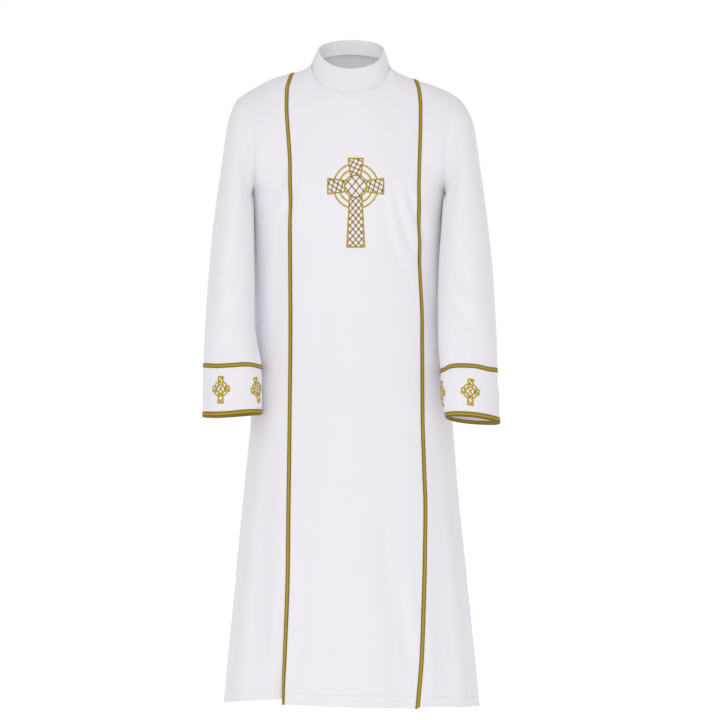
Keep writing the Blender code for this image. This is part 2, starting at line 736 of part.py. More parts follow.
# Gold ribbon round both ends of each cuff
for s in SIDES:
    arm = arms[s]
    leans = unit(arms_n[s])
    top = between(arm, CUFF_SEAM_STEP, CUFF_SEAM_STEP - 1, CUFF_RIBBON_HALF)
    low = between(arm, CUFF_SEAM_STEP, CUFF_SEAM_STEP + 1, CUFF_RIBBON_HALF)
    upper = [top, (CUFF_SEAM_STEP, CUFF_SEAM_STEP - 1, 0.0), low]
    end = between(arm, CUFF_END_STEP, CUFF_END_STEP - 1, 2.0 * CUFF_RIBBON_HALF)
    lower = [end, (CUFF_END_STEP, CUFF_END_STEP - 1, 0.0)]
    for place, spots in (("upper", upper), ("lower", lower)):
        lines = np.stack([ribbon_line(arm, spot) for spot in spots])
        facing = np.stack([ribbon_line(leans, spot) for spot in spots])
        name = "cuff_ribbon_" + place + "_" + s
        strip(name, lines, facing, True, RIBBON, gold(name))

# Lapped strip over the closing at the back
start = int(np.argmin(np.abs(backs["left"][:, 0, 2] - PLACKET_BOTTOM)))
strip("back_placket", backs["left"][start:, :2], backs_n["left"][start:, :2], False, RIBBON, white("back_placket"))
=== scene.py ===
import bmesh
import bpy
import math
import numpy as np
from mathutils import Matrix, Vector
from mathutils.bvhtree import BVHTree


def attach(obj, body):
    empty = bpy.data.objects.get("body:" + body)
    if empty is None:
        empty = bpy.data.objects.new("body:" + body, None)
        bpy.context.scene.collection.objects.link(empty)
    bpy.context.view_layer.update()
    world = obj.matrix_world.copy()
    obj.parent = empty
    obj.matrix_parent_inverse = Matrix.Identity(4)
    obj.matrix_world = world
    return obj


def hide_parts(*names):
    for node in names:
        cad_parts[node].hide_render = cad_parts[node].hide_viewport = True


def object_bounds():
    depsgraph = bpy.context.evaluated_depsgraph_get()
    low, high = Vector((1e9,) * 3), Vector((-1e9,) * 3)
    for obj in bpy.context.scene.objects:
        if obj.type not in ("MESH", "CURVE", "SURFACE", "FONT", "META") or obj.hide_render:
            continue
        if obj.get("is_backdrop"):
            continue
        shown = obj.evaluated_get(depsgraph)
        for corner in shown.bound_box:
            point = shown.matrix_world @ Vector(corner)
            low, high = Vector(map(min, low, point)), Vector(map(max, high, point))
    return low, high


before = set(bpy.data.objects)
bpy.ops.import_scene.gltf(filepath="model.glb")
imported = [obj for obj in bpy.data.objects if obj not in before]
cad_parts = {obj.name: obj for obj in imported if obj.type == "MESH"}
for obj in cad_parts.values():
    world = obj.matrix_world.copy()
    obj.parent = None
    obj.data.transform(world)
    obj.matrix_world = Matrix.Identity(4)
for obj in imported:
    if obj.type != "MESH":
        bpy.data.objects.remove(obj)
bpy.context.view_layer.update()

# ---------------------------------------------------------------- camera
# The tunic is seen square on from the front, at the height of its middle.
# The lens is long and far away, so that the sides of the skirt stay parallel to the view.
PICTURE_SIDE = 720
METRES_A_PIXEL = 0.0021
VIEW_DISTANCE = 10.0
VIEW_MIDDLE = (0.0179, -0.609)
SENSOR_WIDTH = 36.0
lens_data = bpy.data.cameras.new("front_view")
lens_data.sensor_width = SENSOR_WIDTH
lens_data.lens = SENSOR_WIDTH * VIEW_DISTANCE / (PICTURE_SIDE * METRES_A_PIXEL)
lens_data.clip_end = 100.0
front_view = bpy.data.objects.new("front_view", lens_data)
front_view.location = (VIEW_MIDDLE[0], -VIEW_DISTANCE, VIEW_MIDDLE[1])
front_view.rotation_euler = (math.pi / 2.0, 0.0, 0.0)
bpy.context.scene.collection.objects.link(front_view)
bpy.context.scene.camera = front_view

# ---------------------------------------------------------------- studio
# A plain white floor below the hem at the height of the wearer's feet, under soft even light.
# A broad lamp fills from the front and another from behind, with softer ones at the sides, in a white room.
# A small one inside the neck lights the inside of the collar.
FLOOR_HEIGHT = -1.470
FLOOR_RADIUS = 9.0
ROOM_LIGHT = 0.48
GARMENT_MIDDLE = (0.0, 0.0, -0.65)
LAMPS = (
    # name, place, what it points at, side, watts
    ("front_fill_lamp", (0.0, -10.8, 1.6), GARMENT_MIDDLE, 5.0, 190.0),
    ("back_fill_lamp", (0.0, 10.8, 1.6), GARMENT_MIDDLE, 5.0, 245.0),
    ("front_left_lamp", (-3.8, -4.2, 1.2), GARMENT_MIDDLE, 3.0, 30.0),
    ("front_right_lamp", (4.0, -4.4, 1.0), GARMENT_MIDDLE, 3.4, 22.0),
    ("top_lamp", (0.0, -0.6, 4.2), GARMENT_MIDDLE, 3.0, 36.0),
    ("back_left_lamp", (-3.0, 4.4, 1.6), GARMENT_MIDDLE, 3.0, 17.0),
    ("back_right_lamp", (3.2, 4.2, 1.0), GARMENT_MIDDLE, 3.0, 12.0),
    ("neck_lamp", (0.0, -0.035, -0.022), (0.0, 0.045, 0.010), 0.06, 0.034),
)


def wire(tree, nodes, links):
    # rows give a node's name, kind, settings and input values; links read "node.output > node.input"
    made = {}
    for name, kind, *rest in nodes:
        settings, values = (rest + [{}, {}])[:2]
        made[name] = tree.nodes.get(kind) or tree.nodes.new(kind)
        for key, value in settings.items():
            setattr(made[name], key, value)
        for key, value in values.items():
            made[name].inputs[key].default_value = value
    for link in links:
        ends = []
        for end, side in zip(link.split(" > "), ("outputs", "inputs")):
            name, key = end.split(".")
            ends.append(getattr(made[name], side)[int(key) if key.isdigit() else key])
        tree.links.new(*ends)
    return made


def paint(name, nodes, links=()):
    # a new material, and its nodes by name
    material = bpy.data.materials.new(name)
    material.use_nodes = True
    return material, wire(material.node_tree, nodes, links)


floor_middle = (0.0, 0.0, FLOOR_HEIGHT)
bpy.ops.mesh.primitive_circle_add(vertices=96, radius=FLOOR_RADIUS, fill_type="NGON", location=floor_middle)
floor = bpy.context.object
floor.name = "studio_floor"
floor.data.materials.append(paint("pale_floor", (
    ("shader", "Principled BSDF", {}, {
        "Base Color": (0.97, 0.97, 0.97, 1.0), "Roughness": 0.9, "Specular IOR Level": 0.1,
        "Emission Color": (1.0, 1.0, 1.0, 1.0), "Emission Strength": 0.38}),
))[0])
floor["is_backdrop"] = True
for lamp_name, spot, target, side, power in LAMPS:
    lamp_data = bpy.data.lights.new(lamp_name, "AREA")
    lamp_data.shape = "SQUARE"
    lamp_data.size = side
    lamp_data.energy = power
    lamp = bpy.data.objects.new(lamp_name, lamp_data)
    lamp.location = spot
    aim = Vector(target) - Vector(spot)
    lamp.rotation_euler = aim.to_track_quat("-Z", "Y").to_euler()
    lamp.visible_camera = False
    bpy.context.scene.collection.objects.link(lamp)
room = bpy.data.worlds.new("white_room")
bpy.context.scene.world = room
room.use_nodes = True
room.node_tree.nodes.clear()
wire(room.node_tree, (
    ("out", "ShaderNodeOutputWorld"),
    ("mix", "ShaderNodeMixShader"),
    ("path", "ShaderNodeLightPath"),
    ("soft", "ShaderNodeBackground", {}, {"Strength": ROOM_LIGHT, "Color": (1.0, 0.99, 1.0, 1.0)}),
    ("seen", "ShaderNodeBackground", {}, {"Color": (1.0, 1.0, 1.0, 1.0)}),
), (
    "path.Is Camera Ray > mix.Fac", "soft.Background > mix.1", "seen.Background > mix.2",
    "mix.Shader > out.Surface",
))
bpy.context.scene.view_settings.view_transform = "Standard"

# ---------------------------------------------------------------- front centre panel
# The straight middle length of the front, of smooth white polyester weave.
# It is cut flared to the hem and sewn to the side fronts under the two gold ribbons.
CLOTH_THICKNESS = 0.0016
CLOTH_WHITE = (0.865, 0.848, 0.888)
# the darker end of the cloth colour: painted shade in the dips of the weave, and random tone
CLOTH_PAINTED_SHADE_AND_TONE = (0.815, 0.795, 0.845)
THREADS_A_METRE = 2400.0
SEAM_DIP = 0.00015
SEAM_REACH = 0.006
CREASE_REACH = 0.030
RELAX_ROWS = 26
RELAX_PASSES = 60
WAVES = 9
SHARP_ANGLE = 50.0
LINE_LIFT = 0.0001
FINENESS = 5
LOWER_ROWS = 230
UPPER_ROWS = 60
NECK_HALF_STEPS = 5 * FINENESS
YOKE_STEPS = 2 * FINENESS
SIDE_STEPS = 7 * FINENESS
UNDERARM_Z = -0.262
TIP_X = 0.225
ARM_DEPTH = 0.074
ARM_DENT = 0.014
NECK_SEAM_Y = -0.0215
RIM_POWER = 1.05
CHEST_TURN = 62.0
BAND_HALF = 0.0045
SIDES = {"right": -1.0, "left": 1.0}
SHOULDER_SEAM_Z = {"right": -0.0075, "left": -0.0205}

SKIRT_END = -1.340


def curve(keys, values, where):
    # smooth run through the rows of a table, with no overshoot
    steps = np.diff(keys)
    slopes = np.diff(values) / steps
    product = slopes[:-1] * slopes[1:]
    total = slopes[:-1] + slopes[1:]
    total = np.where(np.abs(total) < 1e-12, 1.0, total)
    inner = np.where(product > 0.0, 2.0 * product / total, 0.0)
    tangents = np.concatenate([slopes[:1], inner, slopes[-1:]])
    where = np.clip(np.asarray(where, dtype=float), keys[0], keys[-1])
    span = np.clip(np.searchsorted(keys, where, side="right") - 1, 0, len(steps) - 1)
    t = (where - keys[span]) / steps[span]
    start = values[span] * (2 * t ** 3 - 3 * t ** 2 + 1)
    end = values[span + 1] * (3 * t ** 2 - 2 * t ** 3)
    bend = tangents[span] * (t ** 3 - 2 * t ** 2 + t) + tangents[span + 1] * (t ** 3 - t ** 2)
    return start + end + bend * steps[span]


def table(columns, rows):
    # gives back the smooth curve of a named column over the first one
    names = columns.split()
    values = dict(zip(names, np.array(rows, dtype=float).T))
    return lambda name, where: curve(values[names[0]], values[name], where)


# half widths and depths of the body, from the hem up to the armholes
body = table("height right left front back square_front square_back", (
    (SKIRT_END, 0.2700, 0.2700, 0.172, 0.168, 2.0, 2.0),
    (-1.095, 0.2465, 0.2455, 0.158, 0.152, 2.0, 2.0),
    (-0.895, 0.227, 0.2245, 0.146, 0.138, 2.0, 2.0),
    (-0.74, 0.212, 0.2125, 0.136, 0.126, 2.0, 2.0),
    (-0.62, 0.206, 0.203, 0.128, 0.114, 2.0, 2.1),
    (-0.5, 0.2045, 0.193, 0.122, 0.106, 2.0, 2.2),
    (-0.38, 0.2045, 0.189, 0.12, 0.106, 2.0, 2.3),
    (-0.3, 0.205, 0.19, 0.121, 0.11, 2.2, 2.4),
    (-0.262, 0.207, 0.196, 0.121, 0.112, 2.4, 2.4),
))
# seam lines under the gold ribbons, distance from the middle
band = table("height right left", (
    (-1.34, 0.1435, 0.137),
    (-1.29, 0.1422, 0.1415),
    (-1.23, 0.139, 0.1458),
    (-1.13, 0.1345, 0.149),
    (-1.025, 0.1316, 0.1515),
    (-0.925, 0.1305, 0.1525),
    (-0.82, 0.129, 0.1492),
    (-0.72, 0.128, 0.1468),
    (-0.53, 0.1262, 0.1465),
    (-0.42, 0.127, 0.1424),
    (-0.33, 0.1278, 0.1415),
    (-0.26, 0.1273, 0.1405),
    (-0.2, 0.128, 0.1415),
    (-0.135, 0.132, 0.1435),
    (-0.08, 0.1352, 0.144),
    (-0.045, 0.1345, 0.141),
    (-0.02, 0.128, 0.1335),
    (0.0, 0.121, 0.128),
))
# shoulder line from the neck out to the sleeve
shoulder = table("out right left", (
    (0.08, 0.015, 0.008),
    (0.086, 0.009, 0.001),
    (0.1, -0.001, -0.008),
    (0.12, -0.007, -0.0165),
    (0.145, -0.0125, -0.025),
    (0.17, -0.0205, -0.0325),
    (0.195, -0.0335, -0.0425),
    (0.225, -0.051, -0.059),
))
# stand collar from the neck seam up to the rim
collar = table("rise right left y_front y_back z_front z_right z_left z_back", (
    (0.0, 0.085, 0.0805, -0.098, 0.055, -0.053, 0.01, 0.0075, 0.037),
    (0.35, 0.0785, 0.0765, -0.091, 0.051, -0.036, 0.023, 0.021, 0.047),
    (1.0, 0.069, 0.069, -0.078, 0.043, -0.002, 0.043, 0.042, 0.066),
))
# hem heights at the seams
HEM = {
    "right": {"side": -1.329, "side_at_band": -1.312, "centre_at_band": -1.323, "centre_back": -1.331},
    "left": {"side": -1.335, "side_at_band": -1.328, "centre_at_band": -1.331, "centre_back": -1.331},
}
HEM_FRONT_MIDDLE = -1.3265
HEM_ROW = -1.322
HEM_FADE = 0.150
# soft upright folds of the skirt: turn and width in degrees, depth, top
FOLDS = (
    (-58.0, 9.0, 0.008, -0.55),
    (-22.0, 8.0, -0.0035, -0.7),
    (9.0, 9.0, 0.0035, -0.75),
    (24.0, 6.0, -0.006, -0.62),
    (56.0, 9.0, 0.0075, -0.5),
    (72.0, 6.0, -0.005, -0.75),
    (110.0, 9.0, 0.0085, -0.45),
    (133.0, 8.0, -0.008, -0.6),
    (158.0, 8.0, 0.01, -0.4),
    (-75.0, 6.0, -0.005, -0.8),
    (-107.0, 8.0, 0.009, -0.5),
    (-128.0, 8.0, -0.0085, -0.42),
    (-155.0, 9.0, 0.0095, -0.55),
)
# creases pressed into the front: from x, z to x, z, then bow, half width, depth (ridges are positive)
FRONT_CREASES = (
    (0.088, -0.235, 0.15, -0.43, 0.01, 0.009, -0.003),
    (0.112, -0.225, 0.168, -0.385, 0.006, 0.008, -0.0022),
    (0.066, -0.25, 0.128, -0.46, 0.014, 0.011, -0.002),
    (0.15, -0.3, 0.178, -0.56, 0.008, 0.011, -0.0024),
    (-0.11, -0.215, -0.168, -0.36, -0.008, 0.009, -0.0024),
    (-0.128, -0.18, -0.178, -0.3, -0.006, 0.008, -0.0018),
    (-0.15, -0.33, -0.172, -0.64, -0.006, 0.013, -0.0026),
    (-0.062, -0.42, -0.07, -0.86, 0.004, 0.02, -0.0018),
    (0.012, -0.52, 0.02, -1.02, 0.006, 0.024, -0.0016),
    (0.07, -0.86, 0.094, -1.23, 0.008, 0.015, -0.0034),
    (0.104, -1.04, 0.128, -1.27, 0.004, 0.01, -0.0026),
    (0.082, -1.14, 0.112, -1.33, -0.004, 0.011, 0.002),
    (-0.1, -1.08, -0.128, -1.32, -0.006, 0.012, -0.0026),
    (-0.045, -0.98, -0.052, -1.335, 0.004, 0.018, -0.0024),
    (-0.172, -0.8, -0.204, -1.33, 0.004, 0.017, -0.004),
    (-0.15, -1.02, -0.168, -1.33, 0.004, 0.011, 0.0024),
    (0.178, -0.76, 0.206, -1.33, -0.004, 0.017, -0.0042),
    (0.158, -1.0, 0.172, -1.33, 0.004, 0.011, 0.0024),
    (-0.06, -0.07, -0.108, -0.13, 0.004, 0.009, -0.0014),
    (0.06, -0.075, 0.112, -0.14, -0.004, 0.009, -0.0014),
)


def ease(value):
    # rises smoothly from 0 to 1
    value = np.clip(value, 0.0, 1.0)
    return value * value * (3.0 - 2.0 * value)


def collar_point(turn, rise):
    # turn 0 at the front middle, 90 degrees at the wearer's left, 180 at the back
    turn, rise = np.broadcast_arrays(np.asarray(turn, dtype=float), np.asarray(rise, dtype=float))
    across = np.sin(turn)
    along = np.cos(turn)
    half = np.where(across >= 0.0, collar("left", rise), collar("right", rise))
    y_mid = (collar("y_front", rise) + collar("y_back", rise)) / 2.0
    y_half = (collar("y_back", rise) - collar("y_front", rise)) / 2.0
    z_side = np.where(across >= 0.0, collar("z_left", rise), collar("z_right", rise))
    z_end = np.where(along >= 0.0, collar("z_front", rise), collar("z_back", rise))
    z = z_side + (z_end - z_side) * np.abs(along) ** RIM_POWER
    return np.stack([half * across, y_mid - y_half * along, z], axis=-1)


def skirt_fold(turn, height):
    # outward push of the cloth at an angle round the body
    push = np.zeros(np.broadcast(turn, height).shape)
    for angle, width, depth, top in FOLDS:
        away = (np.degrees(turn) - angle + 180.0) % 360.0 - 180.0
        grow = ease((top - height) / (top - SKIRT_END)) ** 0.8
        push = push + depth * np.exp(-(away / width) ** 2) * grow
    return push


def ring_point(side, turn, height, half):
    # turn runs from the front middle (or the back middle) to the side seam at 90 degrees
    sign = SIDES[side]
    depth = body(half, height)
    facing = -1.0 if half == "front" else 1.0
    power = 2.0 / body("square_" + half, height)
    round_turn = sign * (turn if half == "front" else math.pi - turn)
    push = skirt_fold(round_turn, height)
    x = sign * (body(side, height) * np.maximum(np.sin(turn), 0.0) ** power + push * np.sin(turn))
    y = facing * (depth * np.maximum(np.cos(turn), 0.0) ** power + push * np.cos(turn))
    return np.stack([x, y, height + 0.0 * turn], axis=-1)


def band_turn(side, height, extra=0.0):
    # angle of the ribbon's line, with a small step along the cloth where asked
    half = body(side, height)
    front = body("front", height)
    square = body("square_front", height)
    turn = np.arcsin((band(side, height) / half) ** (square / 2.0))
    stretch = np.sqrt((half * np.cos(turn)) ** 2 + (front * np.sin(turn)) ** 2)
    return turn + extra / stretch


def stations(steps):
    # the columns beside a ribbon: its seam (None), then from its edge evenly outwards
    return [None] + [i / steps for i in range(steps + 1)]


def shoulder_point(side, station, panel):
    # where a column of the panel on either side of the ribbon ends on the shoulder line
    out = float(band(side, SHOULDER_SEAM_Z[side]))
    neck = float(collar(side, 0.0))
    if station is not None:
        edge, end = (out + BAND_HALF, TIP_X) if panel == "side" else (out - BAND_HALF, neck)
        out = edge + (end - edge) * station
    share = (out - neck) / (TIP_X - neck)
    start = float(collar("z_" + side, 0.0)) - float(shoulder(side, neck))
    z = float(shoulder(side, out)) + start * max(0.0, 1.0 - share * 6.0)
    return np.array([SIDES[side] * out, NECK_SEAM_Y * (1.0 - share), z])


def upper_run(base, top, share, angles, shift, sway, square):
    # one column from the underarm level up to its end on the shoulder or neck seam
    rise = np.sin(angles) ** 2
    back = 1.0 - np.maximum(1.0 - rise ** square, 0.0) ** (1.0 / square)
    swell = np.maximum(np.sin(2.0 * angles), 0.0)
    lead = np.where(angles < math.pi / 4.0, swell ** (1.0 + 1.6 * (1.0 - share ** 2)), swell)
    z = base[2] + (top[2] - base[2]) * rise
    y = base[1] + (top[1] - base[1]) * back + shift[1] * lead
    pull = rise ** (1.0 + 3.0 * (1.0 - share))
    x = base[0] + sway(z) + pull * (top[0] - base[0] - sway(np.array([top[2]]))[0])
    x = x + shift[0] * swell ** (1.0 + share ** 4)
    return np.stack([x, y, z], axis=-1)


def side_shift(start, own, side, facing, share):
    # spreads the columns evenly from the ribbon to the armhole half way up the armhole
    if share <= 0.0:
        return (0.0, 0.0)
    sign = SIDES[side]
    edge_x = sign * ((float(body(side, UNDERARM_Z)) + TIP_X) / 2.0 - ARM_DENT)
    edge_y = facing * ARM_DEPTH
    turn = math.radians(CHEST_TURN)
    across = math.sin(share * turn) / math.sin(turn)
    along = (1.0 - math.cos(share * turn)) / (1.0 - math.cos(turn))
    target_x = start[0] + (edge_x - start[0]) * across
    target_y = start[1] + (edge_y - start[1]) * along
    return (target_x - own[0], target_y - own[1])


def column(base_at, hem, top, share, start, side, facing, sway, square):
    # one line of points from the hem up to its end on the shoulder or neck seam
    heights = np.linspace(HEM_ROW, UNDERARM_Z, LOWER_ROWS + 1)
    heights = heights + (hem - HEM_ROW) * np.clip(1.0 - (heights - HEM_ROW) / HEM_FADE, 0.0, 1.0) ** 2
    low = base_at(heights)
    angles = np.linspace(0.0, math.pi / 2.0, UPPER_ROWS + 1)[1:]
    middle = upper_run(low[-1], top, share, np.array([math.pi / 4.0]), (0.0, 0.0), sway, square)[0]
    shift = side_shift(middle if start is None else start, middle, side, facing, share)
    high = upper_run(low[-1], top, share, angles, shift, sway, square)
    return np.concatenate([low, high], axis=0), middle


def neck_turns(half_steps):
    # from the front middle to the side, with a longer last step
    share = np.linspace(0.0, 1.0, half_steps + 1)
    return (share + 0.25 * share ** 4) / 1.25 * math.pi / 2.0


def front_centre_grid():
    # columns from the right ribbon's seam to the left one's, rows from the hem up
    quarter = neck_turns(NECK_HALF_STEPS)
    turns = np.concatenate([-quarter[:0:-1], quarter])
    tops = [shoulder_point("right", station, "centre") for station in stations(YOKE_STEPS)]
    tops += [collar_point(turn, 0.0) for turn in turns[1:-1]]
    tops += [shoulder_point("left", station, "centre") for station in stations(YOKE_STEPS)[::-1]]
    count = len(tops)
    grid = []
    for index, top in enumerate(tops):
        share = float(np.clip((index - 1) / (count - 3), 0.0, 1.0))
        hem_r, hem_l = HEM["right"]["centre_at_band"], HEM["left"]["centre_at_band"]
        hem = hem_r + (hem_l - hem_r) * share
        hem += (HEM_FRONT_MIDDLE - (hem_r + hem_l) / 2.0) * math.sin(math.pi * share)

        def base_at(heights):
            edge_r = -band_turn("right", heights, -BAND_HALF)
            edge_l = band_turn("left", heights, -BAND_HALF)
            turn = edge_r + (edge_l - edge_r) * share
            if index == 0:
                turn = -band_turn("right", heights)
            if index == count - 1:
                turn = band_turn("left", heights)
            r = ring_point("right", -turn, heights, "front")
            l = ring_point("left", turn, heights, "front")
            return np.where((turn < 0.0)[:, None], r, l)

        def sway(height):
            pull_r = -(band("right", height) - float(band("right", UNDERARM_Z)))
            pull_l = band("left", height) - float(band("left", UNDERARM_Z))
            return pull_r * (1.0 - share) + pull_l * share

        middle = 1.0 - abs(2.0 * share - 1.0)
        square = 2.3 - 0.6 * float(ease(middle * 1.6))
        grid.append(column(base_at, hem, top, 0.0, None, "left", -1.0, sway, square)[0])
    return np.stack(grid, axis=1)


def point_normals(grid, closed, flip):
    # the way out of the cloth at each point; flip turns it out of a grid that runs the other way
    a = grid[1:, 1:] - grid[:-1, :-1]
    b = grid[1:, :-1] - grid[:-1, 1:]
    faces = np.cross(a, b)
    total = np.zeros_like(grid)
    total[:-1, :-1] += faces
    total[1:, :-1] += faces
    total[:-1, 1:] += faces
    total[1:, 1:] += faces
    if closed:
        both = total[:, 0] + total[:, -1]
        total[:, 0] = both
        total[:, -1] = both
    size = np.linalg.norm(total, axis=-1, keepdims=True)
    return total * flip / np.maximum(size, 1e-12)


def crease_push(points, creases):
    # soft troughs and ridges along bowed lines drawn on the front or back plane
    push = np.zeros(points.shape[:-1])
    x = points[..., 0]
    z = points[..., 2]
    for x0, z0, x1, z1, bow, width, depth in creases:
        length = math.hypot(x1 - x0, z1 - z0)
        ux = (x1 - x0) / length
        uz = (z1 - z0) / length
        t = ((x - x0) * ux + (z - z0) * uz) / length
        away = (x - x0) * uz - (z - z0) * ux - bow * 4.0 * t * (1.0 - t)
        own = width * (0.75 + 0.5 * np.clip(t, 0.0, 1.0))
        taper = np.sin(math.pi * np.clip(t, 0.0, 1.0)) ** 0.8
        middle = np.exp(-(away / own) ** 2)
        banks = np.exp(-((np.abs(away) - 2.1 * own) / own) ** 2)
        push += depth * taper * (middle - 0.35 * banks)
    return push


def soft_waves(points, seed):
    # slow unevenness of cloth that hangs free
    chance = np.random.default_rng(seed)
    push = np.zeros(points.shape[:-1])
    for _ in range(WAVES):
        across = chance.uniform(9.0, 26.0)
        along = chance.uniform(1.5, 7.0)
        start = chance.uniform(0.0, 6.28, 3)
        size = chance.uniform(0.25, 0.7) * 0.001
        bend = start[0] + 1.3 * np.sin(points[..., 2] * along + start[1])
        wave = np.sin(points[..., 0] * across * 2.0 + bend)
        push += size * wave * np.sin(points[..., 2] * along * 0.8 + start[2])
    return push


def run_lengths(grid):
    # metres across and along a grid of points
    lengths = []
    for axis in (1, 0):
        steps = np.cumsum(np.linalg.norm(np.diff(grid, axis=axis), axis=-1), axis=axis)
        lengths.append(np.concatenate([np.zeros_like(np.take(steps, [0], axis=axis)), steps], axis=axis))
    return lengths


def edge_fade(grid, reach, *edges):
    # 1 in the middle of a piece, 0 on the named edges
    across, along = run_lengths(grid)
    ways = {
        "first_row": along, "last_row": along[-1] - along,
        "first_column": across, "last_column": across[:, -1:] - across,
    }
    fade = np.ones(grid.shape[:2])
    for edge in edges:
        fade *= ease(ways[edge] / reach)
    return fade


def sew_piece(name, outer, inner, closed, cloth, uv=None):
    # a thin closed wall between two grids of points
    rows, columns = outer.shape[:2]
    count = rows * columns
    flat = np.arange(count).reshape(rows, columns)
    place = flat.copy()
    if closed:
        place[:, -1] = place[:, 0]
    edges = [place[0], place[-1][::-1]]
    if not closed:
        edges += [place[:, 0][::-1], place[:, -1]]
    rims = [np.stack([line[1:], line[:-1], line[:-1] + count, line[1:] + count], axis=1) for line in edges]

    def with_skins(at):
        a, b, c, d = (at[:-1, :-1].ravel(), at[:-1, 1:].ravel(), at[1:, 1:].ravel(), at[1:, :-1].ravel())
        return np.concatenate([np.stack([a, b, c, d], axis=1), np.stack([a, d, c, b], axis=1) + count] + rims)

    faces = with_skins(place)
    used, packed = np.unique(faces, return_inverse=True)
    points = np.concatenate([outer.reshape(-1, 3), inner.reshape(-1, 3)])
    mesh = bpy.data.meshes.new(name)
    mesh.from_pydata(points[used].tolist(), [], packed.reshape(faces.shape).tolist())
    if uv is None:
        # metres across and along, so that the weave follows the cloth
        across, along = run_lengths(outer)
        uv = np.stack([across - across[:, columns // 2][:, None], along], axis=-1)
    both = np.concatenate([uv.reshape(-1, 2), uv.reshape(-1, 2)])
    # round a closed piece the last column keeps its own end of the pattern
    mesh.uv_layers.new(name="cloth").data.foreach_set("uv", both[with_skins(flat).ravel()].ravel())
    mesh.materials.append(cloth)
    piece = bpy.data.objects.new(name, mesh)
    bpy.context.scene.collection.objects.link(piece)
    work = bmesh.new()
    work.from_mesh(mesh)
    if work.calc_volume(signed=True) < 0.0:
        bmesh.ops.reverse_faces(work, faces=work.faces[:])
    work.to_mesh(mesh)
    work.free()
    mesh.shade_smooth()
    mesh.set_sharp_from_angle(angle=math.radians(SHARP_ANGLE))
    return piece


def new_tree(name, kind, inputs, outputs):
    # an empty node group with its named sockets
    tree = bpy.data.node_groups.new(name, kind)
    for way, sockets in (("INPUT", inputs), ("OUTPUT", outputs)):
        for label, form in sockets.items():
            tree.interface.new_socket(label, in_out=way, socket_type="NodeSocket" + form)
    return tree


# plain weave: the height of the crossing threads
plain_weave = new_tree("plain_weave", "ShaderNodeTree", {"Vector": "Vector", "Threads": "Float"}, {
    "Height": "Float"})
wire(plain_weave, (
    ("start", "NodeGroupInput"),
    ("end", "NodeGroupOutput"),
    ("scale", "ShaderNodeVectorMath", {"operation": "SCALE"}),
    ("parts", "ShaderNodeSeparateXYZ"),
    ("turn_x", "ShaderNodeMath", {"operation": "MULTIPLY"}, {1: math.pi}),
    ("turn_y", "ShaderNodeMath", {"operation": "MULTIPLY"}, {1: math.pi}),
    ("wave_x", "ShaderNodeMath", {"operation": "SINE"}),
    ("wave_y", "ShaderNodeMath", {"operation": "SINE"}),
    ("cross", "ShaderNodeMath", {"operation": "MULTIPLY"}),
    ("lift", "ShaderNodeMath", {"operation": "ABSOLUTE"}),
), (
    "start.Vector > scale.0", "start.Threads > scale.Scale", "scale.Vector > parts.Vector",
    "parts.X > turn_x.0", "turn_x.0 > wave_x.0", "parts.Y > turn_y.0", "turn_y.0 > wave_y.0",
    "wave_x.0 > cross.0", "wave_y.0 > cross.1", "cross.0 > lift.0", "lift.0 > end.Height",
))


def white_cloth(name):
    # smooth polyester, matt, with a faint lilac white and a soft nap; the colour is darker in the dips
    # between the woven threads, which is painted shade, and varies at random in a slow cloud
    return paint(name, (
        ("place", "ShaderNodeUVMap", {"uv_map": "cloth"}),
        ("weave", "ShaderNodeGroup", {"node_tree": plain_weave}, {"Threads": THREADS_A_METRE}),
        ("cloud", "ShaderNodeTexNoise", {}, {"Scale": 9.0, "Detail": 3.0}),
        ("faint", "ShaderNodeMath", {"operation": "MULTIPLY"}, {1: 0.4}),
        ("mix", "ShaderNodeMath", {"operation": "MULTIPLY_ADD"}, {1: 0.6}),
        ("amount", "ShaderNodeMapRange", {}, {"To Min": 0.75, "To Max": 1.0}),
        # painted shade where the weave dips, mixed with random tone from the cloud
        ("blend", "ShaderNodeMix", {"data_type": "RGBA"}, {
            "A": (*CLOTH_PAINTED_SHADE_AND_TONE, 1.0), "B": (*CLOTH_WHITE, 1.0)}),
        ("bump", "ShaderNodeBump", {}, {"Strength": 0.25, "Distance": 0.0002}),
        ("shader", "Principled BSDF", {}, {
            "Roughness": 0.82, "Specular IOR Level": 0.25, "Sheen Weight": 0.40, "Sheen Roughness": 0.5}),
    ), (
        "place.UV > weave.Vector", "place.UV > cloud.Vector", "weave.Height > mix.0", "cloud.Fac > faint.0",
        "faint.0 > mix.2", "mix.0 > amount.Value", "amount.Result > blend.Factor",
        "blend.Result > shader.Base Color", "weave.Height > bump.Height", "bump.Normal > shader.Normal",
    ))[0]


def relax(grid, free):
    # softens the change of slope at the underarm level, where free is 1; the armhole's edge stays at 0
    out = grid.copy()
    rows = np.arange(grid.shape[0])
    weight = ease(1.0 - np.abs(rows - LOWER_ROWS) / RELAX_ROWS)[:, None, None] * free[None, :, None]
    for _ in range(RELAX_PASSES):
        soft = out.copy()
        soft[1:-1] = (out[:-2] + out[1:-1] * 2.0 + out[2:]) / 4.0
        out = out + (soft - out) * weight
    return out


def press(grid, closed, flip, push):
    # moves the points out of the cloth by their own push
    return grid + point_normals(grid, closed, flip) * push[..., None]


def line_seam(grid, closed, flip, fade):
    # the cloth dips a little along its seams
    return press(grid, closed, flip, -SEAM_DIP * (1.0 - fade))


def drape(grid, free, creases, seed, flip, calm, seams):
    # creases a body panel, less so towards its calm edges, and dips it along its seams
    grid = relax(grid, free)
    push = crease_push(grid, creases) + soft_waves(grid, seed)
    grid = press(grid, False, flip, push * edge_fade(grid, CREASE_REACH, *calm))
    return line_seam(grid, False, flip, edge_fade(grid, SEAM_REACH, *seams))


def hang_piece(name, grid, closed, flip, cloth, thickness=CLOTH_THICKNESS):
    # a wall of cloth behind its outer face
    lean = point_normals(grid, closed, flip)
    return sew_piece(name, grid, grid - lean * thickness, closed, cloth)


